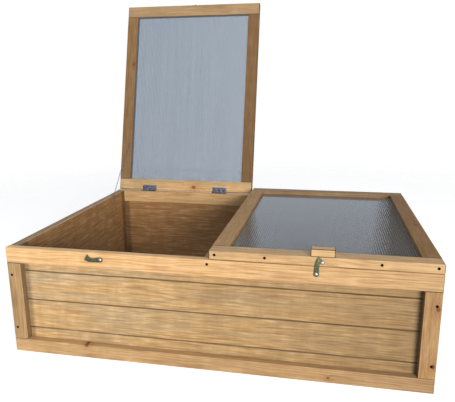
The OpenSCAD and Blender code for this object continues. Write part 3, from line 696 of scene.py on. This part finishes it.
def number_property(name, description, default):
    """A plain number that a user may change."""
    return bpy.props.FloatProperty(name=name, description=description, default=default)


def count_property(name, description, default):
    """A whole number that a user may change."""
    return bpy.props.IntProperty(name=name, description=description, default=default, min=2)


WOOD_FIELDS = {
    "early_wood": (colour_property, "Early wood", "Stained colour of the pale part of a ring"),
    "late_wood": (colour_property, "Late wood", "Stained colour of the dark part of a ring"),
    "weathered": (colour_property, "Weathered", "Colour the wood greys to"),
    "worn": (colour_property, "Worn", "Colour of flecks where the stain has worn off"),
    # The deep colour is partly stain and partly painted shade.
    "deep": (colour_property, "Deep stain", "Colour where the stain stays fresh"),
    "knot": (colour_property, "Knot", "Colour of a knot's heart"),
    "ring_width": (length_property, "Ring width", "Growth in one year, drawn coarse enough to see"),
    "ring_depth": (number_property, "Ring depth", "Contrast of the rings"),
    "wander": (length_property, "Wander", "How far the log's centre line wanders"),
    "streaks": (number_property, "Streaks", "Strength of the stain streaks"),
    "flecks": (number_property, "Flecks", "Strength of the worn flecks"),
    "contrast": (number_property, "Contrast", "Depth of the streaks' shading"),
    # Corner shade is painted shade along the boards beside the posts.
    "corner_stain": (number_property, "Corner stain", "How much darker the stain lies beside the posts"),
    "corner_start": (length_property, "Corner start", "Distance from a board's end to where it is full"),
    "corner_end": (length_property, "Corner end", "Distance from a board's end to where it stops"),
}


def wood_properties(**defaults):
    """A property for each wood field, with one wood's own defaults."""
    return {field: make(label, note, defaults[field]) for field, (make, label, note) in WOOD_FIELDS.items()}


class COLDFRAME_PG_frame_wood(bpy.types.PropertyGroup):
    __annotations__ = wood_properties(
        early_wood="#E8BE88", late_wood="#A9723A", weathered="#B59C74", worn="#F6DDB0", deep="#96641E",
        knot="#87502E", ring_width=5, ring_depth=0.6, wander=34, streaks=0.5, flecks=0.35, contrast=0.09,
        corner_stain=0.0, corner_start=27, corner_end=37)


class COLDFRAME_PG_board_wood(bpy.types.PropertyGroup):
    __annotations__ = wood_properties(
        early_wood="#D8AE72", late_wood="#96693A", weathered="#BCA582", worn="#EAD4AC", deep="#8A5628",
        knot="#5A3A22", ring_width=5.5, ring_depth=0.45, wander=40, streaks=0.5, flecks=0.55, contrast=0.16,
        corner_stain=0.45, corner_start=27, corner_end=37)


class COLDFRAME_PG_boards(bpy.types.PropertyGroup):
    count: count_property("Boards", "Boards in each wall", 4)
    first_joint: length_property("First joint", "Height of the lowest joint", 72.5)
    cover_width: length_property("Cover width", "Height from one joint to the next", 90.5)
    v_depth: length_property("V depth", "Depth of the V along a joint", 1.7)
    tongue: length_property("Tongue", "Depth of the tongue", 4)
    gap: length_property("Gap", "Gap between neighbouring boards", 0.5)


class COLDFRAME_PG_glazing(bpy.types.PropertyGroup):
    skin: length_property("Skin", "Thickness of the skins and ribs", 0.5)
    channels: count_property("Channels", "Channels across a sheet", 78)
    cast: colour_property("Cast", "Blue-grey cast of the plastic", "#65809A")
    # Painted reflection and shade on the skins seen edge on.
    edge_cast: colour_property("Edge cast", "Smoky cast of the plastic seen edge on", "#80766A")
    # The ribs' light colour is a painted highlight.
    rib_colour: colour_property("Rib colour", "Milky colour of the ribs", "#D4E2F2")
    line_strength: number_property("Line strength", "How clearly the skins whiten over a rib", 0.2)
    cover: number_property("Cover", "How much one face hides seen square on", 0.27)
    rib_cover: number_property("Rib cover", "How much a rib's face hides", 0.7)
    edge_cover: number_property("Edge cover", "How much one face hides seen edge on", 1.0)
    roughness: number_property("Roughness", "Roughness of the skins", 0.12)


class COLDFRAME_PG_metal(bpy.types.PropertyGroup):
    zinc: colour_property("Zinc", "Colour of plain zinc plate", "#85828A")
    zinc_dull: colour_property("Dull zinc", "Colour of the dulled patches", "#2A2628")
    olive: colour_property("Olive zinc", "Colour of the passivated hooks", "#787C5C")
    olive_dull: colour_property("Dull olive", "Colour of the hooks' dulled patches", "#4E523A")
    bright: colour_property("Bright zinc", "Colour of the screw heads", "#E4E2DC")
    # Near black: painted shade for the sunk screws down their bores.
    dark: colour_property("Dark steel", "Colour of the sunk wood screws", "#15110E")
    edge: length_property("Edge", "Rounding on stamped edges", 0.25)


class COLDFRAME_PG_chain(bpy.types.PropertyGroup):
    pitch: length_property("Pitch", "Distance from one link to the next", 12)
    wire_radius: length_property("Wire radius", "Radius of the chain wire", 0.6)
    bend_radius: length_property("Bend radius", "Radius of a link's ends, at the wire's middle", 1.9)
    link_length: length_property("Link length", "Length of a link, at the wire's middle", 13.4)


class COLDFRAME_PG_stage(bpy.types.PropertyGroup):
    camera_across: length_property("Camera across", "Camera to the right of the box's middle", 305.8)
    camera_back: length_property("Camera back", "Camera in front of the box's middle", 1626.8)
    camera_height: length_property("Camera height", "Camera above the ground", 789.1)
    camera_turn: number_property("Turn", "Degrees to the left", 11.16)
    camera_tilt: number_property("Tilt", "Degrees downwards", 13.29)
    camera_roll: number_property("Roll", "Degrees clockwise", 0.32)
    lens: number_property("Lens", "Focal length in millimetres", 39.3)
    floor_radius: length_property("Floor radius", "Radius of the floor disc", 3600)
    floor_colour: colour_property("Floor", "Colour of the floor board", "#EDEDED")
    floor_lift: number_property("Floor lift", "Glow that brings the floor to white", 0.6)
    ambient: number_property("Ambient", "Strength of the soft surrounding light", 0.18)
    key_power: number_property("Key power", "Watts of the key panel", 285.0)
    ceiling_power: number_property("Ceiling power", "Watts of the ceiling panel", 54.0)


LOOKS = {
    "coldframe_wood": COLDFRAME_PG_frame_wood,
    "coldframe_board_wood": COLDFRAME_PG_board_wood,
    "coldframe_boards": COLDFRAME_PG_boards,
    "coldframe_glazing": COLDFRAME_PG_glazing,
    "coldframe_metal": COLDFRAME_PG_metal,
    "coldframe_chain": COLDFRAME_PG_chain,
    "coldframe_stage": COLDFRAME_PG_stage,
}


# ---- timber --------------------------------------------------------------------------------

# Tone at the left, lower or near end and at the other end, weathering at both, and deep stain.
# The tones hold painted light and shade besides each piece's own tone, and the front pieces grow lighter to the
# left as painted light; the deep stain is partly painted shade.
PLAIN_FINISH = (0.9, 0.9, 0.25, 0.25, 0.1)
FINISH = {
    "front_top_rail": (1.32, 0.66, 0.25, 0.0, 0.0),
    "front_bottom_rail": (0.9, 0.5, 0.4, 0.15, 0.0),
    "front_left_post": (0.75, 0.75, 0.5, 0.5, 0.1),
    "front_right_post": (0.68, 0.66, 0.1, 0.1, 0.4),
    "back_top_rail": (1.05, 1.05, 0.4, 0.4, 0.1),
    "left_side_top_rail": (0.58, 0.62, 0.5, 0.5, 0.3),
    "right_side_top_rail": (0.64, 0.64, 0.5, 0.5, 0.3),
    "centre_rail": (0.64, 0.64, 0.6, 0.6, 0.2),
    "left_lid_front_rail": (0.72, 0.63, 0.5, 0.3, 0.0),
    "left_lid_back_rail": (1.0, 1.0, 0.7, 0.7, 0.0),
    "left_lid_left_stile": (0.6, 0.52, 0.1, 0.1, 0.6),
    "left_lid_right_stile": (0.54, 0.44, 0.0, 0.0, 0.8),
    "right_lid_front_rail": (0.9, 0.84, 0.4, 0.3, 0.0),
    "right_lid_back_rail": (0.46, 0.46, 0.0, 0.0, 0.2),
    "right_lid_left_stile": (0.86, 0.78, 0.0, 0.0, 0.5),
    "right_lid_right_stile": (0.68, 0.6, 0.1, 0.1, 0.75),
    "right_lid_lift_block": (0.85, 0.85, 0.2, 0.2, 0.0),
}

# Knots that show: distance along from the piece's middle, distance across, radius, in millimetres.
KNOTS = {
    "front_right_post": [(75, 13, 6), (-84, 13, 6)],
    "front_bottom_rail": [(-368, 19, 5), (330, -6, 3)],
    "left_lid_left_stile": [(-150, 14, 6)],
    "left_lid_back_rail": [(42, 6, 8)],
    "right_lid_right_stile": [(-60, 6, 7)],
}

# A bore's faces are smaller than BORE_FACE and lie more than INSIDE_BY under the timber's sides.
BORE_FACE = 60 * MM * MM
INSIDE_BY = 0.1 * MM
# How squarely a face looks along an axis to count as an end or a recess, and how dark each kind of face is.
FACES_ALONG = 0.7
# Bore faces are darkened as painted shade, the shade down a screw hole.
BORE_SHADE = 0.12
END_SHADE = 0.7
# The posts' inward faces are darkened as painted shade, the shade of the recess beside the boards.
RECESS_SHADE = 0.5


def store(mesh, name, domain, values):
    """Adds a named vector attribute to a mesh and fills it."""
    attribute = mesh.attributes.new(name, "FLOAT_VECTOR", domain)
    for datum, value in zip(attribute.data, values):
        datum.vector = value


def write_wood(mesh, to_shut, seed, node):
    """Stores on a timber's mesh where each point lies in its log and how each face is finished, with painted shade
    on its bores and on a post's inward faces.
    """
    rng = random.Random(seed)
    points = [to_shut @ vertex.co for vertex in mesh.vertices]
    low, high = span(points)
    order = sorted(range(3), key=lambda i: low[i] - high[i])
    middle = [(low[i] + high[i]) / 2 for i in range(3)]
    long, length = order[0], high[order[0]] - low[order[0]]
    pith = (rng.uniform(3.0, 40.0), rng.uniform(-0.02, 0.02), rng.uniform(0.02, 0.045) * rng.choice((-1, 1)))
    start_tone, end_tone, start_weather, end_weather, deep = FINISH.get(node, PLAIN_FINISH)
    turn = to_shut.to_3x3()
    shades = []
    for face in mesh.polygons:
        centre = to_shut @ face.center
        inside = all(low[i] + INSIDE_BY < centre[i] < high[i] - INSIDE_BY for i in range(3))
        is_bore = inside and face.area < BORE_FACE
        normal = turn @ face.normal
        is_end = abs(normal[long]) > FACES_ALONG
        # Painted shade: a post's faces turned towards the box's middle are darkened.
        is_recess = node.endswith("_post") and abs(normal.x) > FACES_ALONG and normal.x * centre.x < 0
        shades.append(BORE_SHADE if is_bore else END_SHADE if is_end else RECESS_SHADE if is_recess else 1.0)
    store(mesh, "grain", "POINT", [
        [point[i] - middle[i] + pith[k] for k, i in enumerate(order)] for point in points])
    shares = [(point[long] - low[long]) / length for point in points]
    store(mesh, "state", "POINT", [
        (start_tone + (end_tone - start_tone) * share,
         start_weather + (end_weather - start_weather) * share, 0.0) for share in shares])
    store(mesh, "finish", "FACE", [(value, 1.0, deep) for value in shades])
    for name, (along, across, radius) in zip(("knot_a", "knot_b"), KNOTS.get(node, [])):
        seat = (pith[0] + along * MM, pith[1] + across * MM, radius * MM)
        store(mesh, name, "FACE", [seat] * len(shades))


def timber_piece(node, seed, material):
    """A timber with its bores and pockets, sawn from its own part of a log."""
    shape = merged_copy(node)
    mesh = bpy.data.meshes.new(node + "_pine")
    shape.to_mesh(mesh)
    shape.free()
    write_wood(mesh, shut_matrix(BODY_OF[node]), seed, node)
    mesh.materials.append(material)
    stand_for(new_piece(node + "_pine", mesh), [node])


class COLDFRAME_OT_timber(bpy.types.Operator):
    """Cut the rails, posts, stiles and lift blocks from stained pine"""
    bl_idname = "coldframe.timber"
    bl_label = "Timber"

    def execute(self, context):
        material = pine("Honey-stained planed pine", context.scene.coldframe_wood)
        for seed, node in enumerate(TIMBER_NODES):
            timber_piece(node, seed, material)
        return {"FINISHED"}


# Each wall: its nodes, the way it faces, its weathering at both ends and its tone at both ends, which on the front
# wall falls from left to right as painted light.
WALLS = {
    "front": (["front_board_%d" % number for number in (1, 2, 3, 4)], (0, -1, 0), (0.95, 0.1), (1.12, 0.46)),
    "back": (["back_board_%d" % number for number in (1, 2, 3, 4)], (0, 1, 0), (0.4, 0.4), (0.9, 0.9)),
    "left": (["left_side_boards"], (-1, 0, 0), (0.4, 0.4), (0.85, 0.85)),
    "right": (["right_side_boards"], (1, 0, 0), (0.4, 0.4), (0.85, 0.85)),
}
# How much the walls' inner faces take the deep colour, partly darker stain and partly painted shade.
INNER_STAIN = 0.6
UP = Vector((0, 0, 1))


class COLDFRAME_OT_boards(bpy.types.Operator):
    """Board the four walls in tongue and groove"""
    bl_idname = "coldframe.boards"
    bl_label = "Wall boards"

    def execute(self, context):
        sizes = context.scene.coldframe_boards
        material = pine("Honey-stained pine boards", context.scene.coldframe_board_wood)
        tree = boarded_wall_tree(prism_tree())
        for seed, (side, (nodes, facing, weathering, tones)) in enumerate(WALLS.items()):
            outward = Vector(facing)
            low, high = span([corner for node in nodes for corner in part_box(node)])
            along = (-outward).cross(UP)
            middle = (low + high) / 2
            length = abs((high - low).dot(along))
            start = Vector((middle.x, middle.y, low.z)) - along * length / 2
            place = Matrix.Translation(start) @ Matrix((-outward, UP, along)).transposed().to_4x4()
            piece = grow(side + "_wall_boards", tree, {
                "Boards": sizes.count, "Length": length, "First Joint": sizes.first_joint,
                "Cover Width": sizes.cover_width, "Top Edge": high.z - low.z,
                "Thickness": abs((high - low).dot(outward)), "V Depth": sizes.v_depth,
                "Tongue": sizes.tongue, "Gap": sizes.gap, "Seed": 11 * seed, "Weathering": weathering[0],
                "End Weathering": weathering[1], "Inner Stain": INNER_STAIN, "Tone": tones[0],
                "End Tone": tones[1], "Material": material}, place)
            stand_for(piece, nodes)
        return {"FINISHED"}


# ---- glazing -------------------------------------------------------------------------------

class COLDFRAME_OT_glazing(bpy.types.Operator):
    """Glaze both lids with twin-wall sheet"""
    bl_idname = "coldframe.glazing"
    bl_label = "Glazing"

    def execute(self, context):
        look = context.scene.coldframe_glazing
        material = polycarbonate("Extruded twin-wall polycarbonate", look)
        tree = twin_wall_tree(prism_tree())
        for side in ("left", "right"):
            node = side + "_lid_glazing"
            low, high = shut_box(node)
            middle = (low + high) / 2
            at_back = Matrix.Translation((middle.x, high.y, middle.z)) @ Matrix.Rotation(math.pi / 2, 4, "X")
            place = shut_matrix(BODY_OF[node]).inverted() @ at_back
            piece = grow(side + "_twin_wall_sheet", tree, {
                "Width": high.x - low.x, "Length": high.y - low.y, "Thickness": high.z - low.z,
                "Skin": look.skin, "Channels": look.channels, "Material": material}, place)
            stand_for(piece, [node])
        return {"FINISHED"}


# ---- ironmongery ---------------------------------------------------------------------------

# Edges that turn by more than this are rounded.
HARD_ANGLE = math.radians(40)


def stamped_piece(node, material, edge):
    """A steel piece of the frame with its hard edges rounded."""
    shape = merged_copy(node)
    hard = [e for e in shape.edges if len(e.link_faces) == 2 and e.calc_face_angle(0.0) > HARD_ANGLE]
    bmesh.ops.bevel(shape, geom=hard, offset=edge, segments=2, profile=0.5, affect="EDGES",
        clamp_overlap=True)
    mesh = bpy.data.meshes.new(node + "_steel")
    shape.to_mesh(mesh)
    shape.free()
    smooth_round_parts(mesh)
    mesh.materials.append(material)
    stand_for(new_piece(node + "_steel", mesh), [node])


def screw_seat(points):
    """The middle of a screw's head face and the direction it is driven in."""
    cloud = np.array([tuple(p) for p in points])
    centre = cloud.mean(axis=0)
    axis = np.linalg.svd(cloud - centre, full_matrices=False)[2][0]
    heights = (cloud - centre) @ axis
    radii = np.linalg.norm(cloud - centre - heights[:, None] * axis, axis=1)
    if heights[radii.argmax()] > 0:
        axis, heights = -axis, -heights
    return Vector(centre + axis * heights.min()), Vector(axis)


def screw_points(node, seats):
    """A mesh of points that carry the aim of each screw."""
    mesh = bpy.data.meshes.new(node + "_points")
    mesh.from_pydata([seat for seat, aim in seats], [], [])
    store(mesh, "aim", "POINT", [aim for seat, aim in seats])
    return mesh


SCREW_NODES = ("box_screws", "hinge_box_screws", "left_lid_screws", "right_lid_screws")
PAN_HEAD = {"Face Radius": 3.0 * MM, "Neck Radius": 3.7 * MM, "Head Height": 1.8 * MM}
COUNTERSUNK_HEAD = {"Face Radius": 2.75 * MM, "Neck Radius": 1.5 * MM, "Head Height": 1.15 * MM}
SHANK_R = 1.5 * MM
# Shorter screws than this hold the hinge leaves.
LEAF_SCREW_L = 20 * MM


class COLDFRAME_OT_screws(bpy.types.Operator):
    """Drive the cross-head screws of the frame, the lids and the hinges"""
    bl_idname = "coldframe.screws"
    bl_label = "Screws"

    def execute(self, context):
        metal = context.scene.coldframe_metal
        # The sunk screws are coloured near black as painted shade in their bores.
        sunk = zinc_plate("Blackened steel wood screws", metal.dark, metal.dark, 0.7)
        plated = zinc_plate("Zinc-plated hinge screws", metal.zinc, metal.zinc_dull, 0.32)
        tree = screws_tree()
        for number, node in enumerate(SCREW_NODES):
            sets = {}
            for points in solids_of(node):
                seat, aim = screw_seat(points)
                length = max((p - seat).dot(aim) for p in points)
                sets.setdefault(round(length, 4), []).append((seat, aim))
            grown = []
            for length, seats in sorted(sets.items()):
                is_leaf = length < LEAF_SCREW_L
                head = COUNTERSUNK_HEAD if is_leaf else PAN_HEAD
                grown.append(grow("%s_%d" % (node, len(grown)), tree, {
                    **head, "Shank Radius": SHANK_R, "Length": length, "Seed": number,
                    "Material": plated if is_leaf else sunk}, Matrix.Identity(4),
                    start=screw_points(node, seats)))
            piece = joined_piece(node + "_cross_head", grown)
            stand_for(piece, [node])
        return {"FINISHED"}


def joined_piece(name, pieces):
    """One mesh piece made of several, which are removed."""
    joined = bmesh.new()
    materials = []
    for piece in pieces:
        start = len(joined.faces)
        joined.from_mesh(piece.data)
        joined.faces.ensure_lookup_table()
        materials += [material for material in piece.data.materials if material not in materials]
        local = [materials.index(material) for material in piece.data.materials]
        for face in joined.faces[start:]:
            face.material_index = local[face.material_index]
    mesh = bpy.data.meshes.new(name)
    joined.to_mesh(mesh)
    joined.free()
    for material in materials:
        mesh.materials.append(material)
    for piece in pieces:
        bpy.data.objects.remove(piece)
    smooth_round_parts(mesh)
    return new_piece(name, mesh)


class COLDFRAME_OT_hinges(bpy.types.Operator):
    """Round the edges of the butt hinges' leaves and pins"""
    bl_idname = "coldframe.hinges"
    bl_label = "Hinges"

    def execute(self, context):
        metal = context.scene.coldframe_metal
        material = zinc_plate("Stamped zinc-plated hinge steel", metal.zinc, metal.zinc_dull, 0.38)
        for node in ("hinge_fixed_leaves", "left_hinge_lid_leaves", "right_hinge_lid_leaves"):
            stamped_piece(node, material, 0.5 * metal.edge)
        stamped_piece("hinge_pins", material, metal.edge)
        return {"FINISHED"}


class COLDFRAME_OT_hooks(bpy.types.Operator):
    """Stamp the hooks and set their screws and studs"""
    bl_idname = "coldframe.hooks"
    bl_label = "Hooks"

    def execute(self, context):
        metal = context.scene.coldframe_metal
        olive = zinc_plate("Olive-passivated zinc plate", metal.olive, metal.olive_dull, 0.36)
        bright = zinc_plate("Bright zinc-plated round heads", metal.bright, metal.zinc, 0.22)
        for node in ("left_hook", "right_hook"):
            stamped_piece(node, olive, metal.edge)
        for node in ("hook_pivot_screws", "left_hook_stud", "right_hook_stud"):
            stamped_piece(node, bright, 0.4 * metal.edge)
        for node in ("chain_wall_screws", "left_stay_eye", "right_stay_eye"):
            stamped_piece(node, bright, 0.3 * metal.edge)
        return {"FINISHED"}


class COLDFRAME_OT_chains(bpy.types.Operator):
    """Hang the stay chains"""
    bl_idname = "coldframe.chains"
    bl_label = "Stay chains"

    def execute(self, context):
        sizes = context.scene.coldframe_chain
        metal = context.scene.coldframe_metal
        material = zinc_plate("Zinc-plated chain wire", metal.zinc, metal.zinc_dull, 0.3)
        tree = chain_tree()
        for side in ("left", "right"):
            for half, joint in (("upper", "eye"), ("lower", "wall")):
                node = "%s_chain_%s" % (side, half)
                pivot = Vector(JOINT["%s_chain_%s_turn" % (side, joint)]["pos_m"])
                links = solids_of(node)
                middles = [sum(points, Vector()) / len(points) for points in links]
                middle = sum(middles, Vector()) / len(middles)
                along = Vector((0, middle.y - pivot.y, middle.z - pivot.z))
                reach = along.length + (len(links) - 1) / 2 * sizes.pitch
                along.normalize()
                across = Vector((1, 0, 0))
                turn = Matrix((across, along, across.cross(along))).transposed().to_4x4()
                place = Matrix.Translation((middle.x, pivot.y, pivot.z)) @ turn
                piece = grow(node + "_links", tree, {
                    "Links": len(links), "Pitch": sizes.pitch, "Reach": reach,
                    "Wire Radius": sizes.wire_radius, "Bend Radius": sizes.bend_radius,
                    "Link Length": sizes.link_length, "Material": material}, place)
                stand_for(piece, [node])
        return {"FINISHED"}


# ---- stage ---------------------------------------------------------------------------------

def area_light(name, at, look_at, size, power, colour):
    """A square soft panel turned towards a point."""
    light = bpy.data.lights.new(name, "AREA")
    light.size = size
    light.energy = power
    light.color = linear(colour)[:3]
    lamp = bpy.data.objects.new(name, light)
    lamp.location = at
    lamp.rotation_euler = (Vector(look_at) - Vector(at)).to_track_quat("-Z", "Y").to_euler()
    bpy.context.scene.collection.objects.link(lamp)
    return lamp


def white_world(strength):
    """Soft even light all round, seen as plain white and mirrored as a cool white window wall."""
    world = bpy.data.worlds.new("White studio")
    bpy.context.scene.world = world
    world.use_nodes = True
    tree = world.node_tree
    tree.nodes.clear()
    path = add(tree, "ShaderNodeLightPath", output=None).outputs
    is_seen = add(tree, MAXIMUM, path["Is Camera Ray"], path["Is Transmission Ray"])
    lamp = add(tree, BACKGROUND, {"Color": linear("#FFFCF6"), "Strength": strength})
    cool = add(tree, BACKGROUND, {"Color": linear("#D8E8FC"), "Strength": MIRRORED_WHITE})
    white = add(tree, BACKGROUND, {"Color": linear("#FFFFFF"), "Strength": 1.0})
    mirrored = add(tree, MIX_SHADER, path["Is Glossy Ray"], lamp, cool)
    mixed = add(tree, MIX_SHADER, is_seen, mirrored, white)
    add(tree, "ShaderNodeOutputWorld", {"Surface": mixed}, output=None)


# Places from the middle of the box, in metres: the two lamps, what they face and the flag's near edge.
KEY_AT = Vector((2.4, -5.0, 1.35))
CEILING_AT = Vector((0.3, -0.3, 3.6))
LAMPS_FACE = Vector((0, 0, 0.3))
FLAG_EDGE = Vector((0.70, 1.87, 0))
FLAG_SIZE = 3.0
KEY_SIZE = 1.6
CEILING_SIZE = 4.0
MIRRORED_WHITE = 1.12
SENSOR_WIDTH = 36.0
LENS_SHIFT = (-0.0064, -0.002)


class COLDFRAME_OT_stage(bpy.types.Operator):
    """Set the floor, the lamps, the black flag and the camera"""
    bl_idname = "coldframe.stage"
    bl_label = "Stage"

    def black_flag(self, edge):
        """A black card behind the right-hand side, seen only as a dark reflection in glossy pieces."""
        card = bmesh.new()
        bmesh.ops.create_grid(card, x_segments=1, y_segments=1, size=0.5)
        upright = Matrix.Rotation(math.pi / 2, 4, "X") @ Matrix.Diagonal((FLAG_SIZE, FLAG_SIZE, 1.0, 1.0))
        card.transform(Matrix.Translation(edge + Vector((FLAG_SIZE / 2, 0, FLAG_SIZE / 2))) @ upright)
        mesh = bpy.data.meshes.new("black_flag")
        card.to_mesh(mesh)
        card.free()
        material, put = new_material("Matt black card")
        end_material(material, put(PRINCIPLED, {"Base Color": linear("#050505"), "Roughness": 0.95}))
        mesh.materials.append(material)
        flag = new_piece("black_flag", mesh)
        flag.visible_camera = False
        flag.visible_diffuse = False
        flag.visible_shadow = False
        flag.visible_transmission = False

    def execute(self, context):
        look = context.scene.coldframe_stage
        scene = context.scene
        low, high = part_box("front_bottom_rail")[0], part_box("back_bottom_rail")[1]
        middle = Vector(((low.x + high.x) / 2, (low.y + high.y) / 2, 0))

        disc = bmesh.new()
        bmesh.ops.create_circle(disc, cap_ends=True, segments=96, radius=look.floor_radius)
        mesh = bpy.data.meshes.new("studio_floor")
        disc.to_mesh(mesh)
        disc.free()
        mesh.materials.append(studio_floor("Matt white floor board", look))
        floor = new_piece("studio_floor", mesh)

        aim = middle + LAMPS_FACE
        area_light("key_panel", middle + KEY_AT, aim, KEY_SIZE, look.key_power, "#FFF8EE")
        area_light("ceiling_panel", middle + CEILING_AT, aim, CEILING_SIZE, look.ceiling_power, "#EAF2FF")
        white_world(look.ambient)
        self.black_flag(middle + FLAG_EDGE)

        camera = bpy.data.objects.new("camera", bpy.data.cameras.new("camera"))
        scene.collection.objects.link(camera)
        at = middle + Vector((look.camera_across, -look.camera_back, look.camera_height))
        turn = (Matrix.Rotation(math.radians(look.camera_turn), 4, "Z")
                @ Matrix.Rotation(math.radians(-look.camera_tilt), 4, "X")
                @ Matrix.Rotation(math.radians(look.camera_roll), 4, "Y")
                @ Matrix.Rotation(math.pi / 2, 4, "X"))
        camera.matrix_world = Matrix.Translation(at) @ turn
        camera.data.sensor_width = SENSOR_WIDTH
        camera.data.lens = look.lens
        camera.data.shift_x, camera.data.shift_y = LENS_SHIFT
        scene.camera = camera
        scene.view_settings.view_transform = "Standard"
        return {"FINISHED"}


# ---- add-on --------------------------------------------------------------------------------

OPERATORS = [COLDFRAME_OT_timber, COLDFRAME_OT_boards, COLDFRAME_OT_glazing, COLDFRAME_OT_screws,
             COLDFRAME_OT_hinges, COLDFRAME_OT_hooks, COLDFRAME_OT_chains, COLDFRAME_OT_stage]


class COLDFRAME_PT_panel(bpy.types.Panel):
    """The cold frame's pieces"""
    bl_label = "Cold Frame"
    bl_idname = "COLDFRAME_PT_panel"
    bl_space_type = "VIEW_3D"
    bl_region_type = "UI"
    bl_category = "Cold Frame"

    def draw(self, context):
        for operator in OPERATORS:
            self.layout.operator(operator.bl_idname)
        for name, group in LOOKS.items():
            box = self.layout.box()
            for prop in group.__annotations__:
                box.prop(getattr(context.scene, name), prop)


def register():
    for name, group in LOOKS.items():
        bpy.utils.register_class(group)
        setattr(bpy.types.Scene, name, bpy.props.PointerProperty(type=group))
    for cls in OPERATORS + [COLDFRAME_PT_panel]:
        bpy.utils.register_class(cls)


def unregister():
    for cls in reversed(OPERATORS + [COLDFRAME_PT_panel]):
        bpy.utils.unregister_class(cls)
    for name, group in LOOKS.items():
        delattr(bpy.types.Scene, name)
        bpy.utils.unregister_class(group)


def main():
    register()
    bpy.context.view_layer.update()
    for operator in OPERATORS:
        group, name = operator.bl_idname.split(".")
        getattr(getattr(bpy.ops, group), name)()


if __name__ == "__main__":
    main()
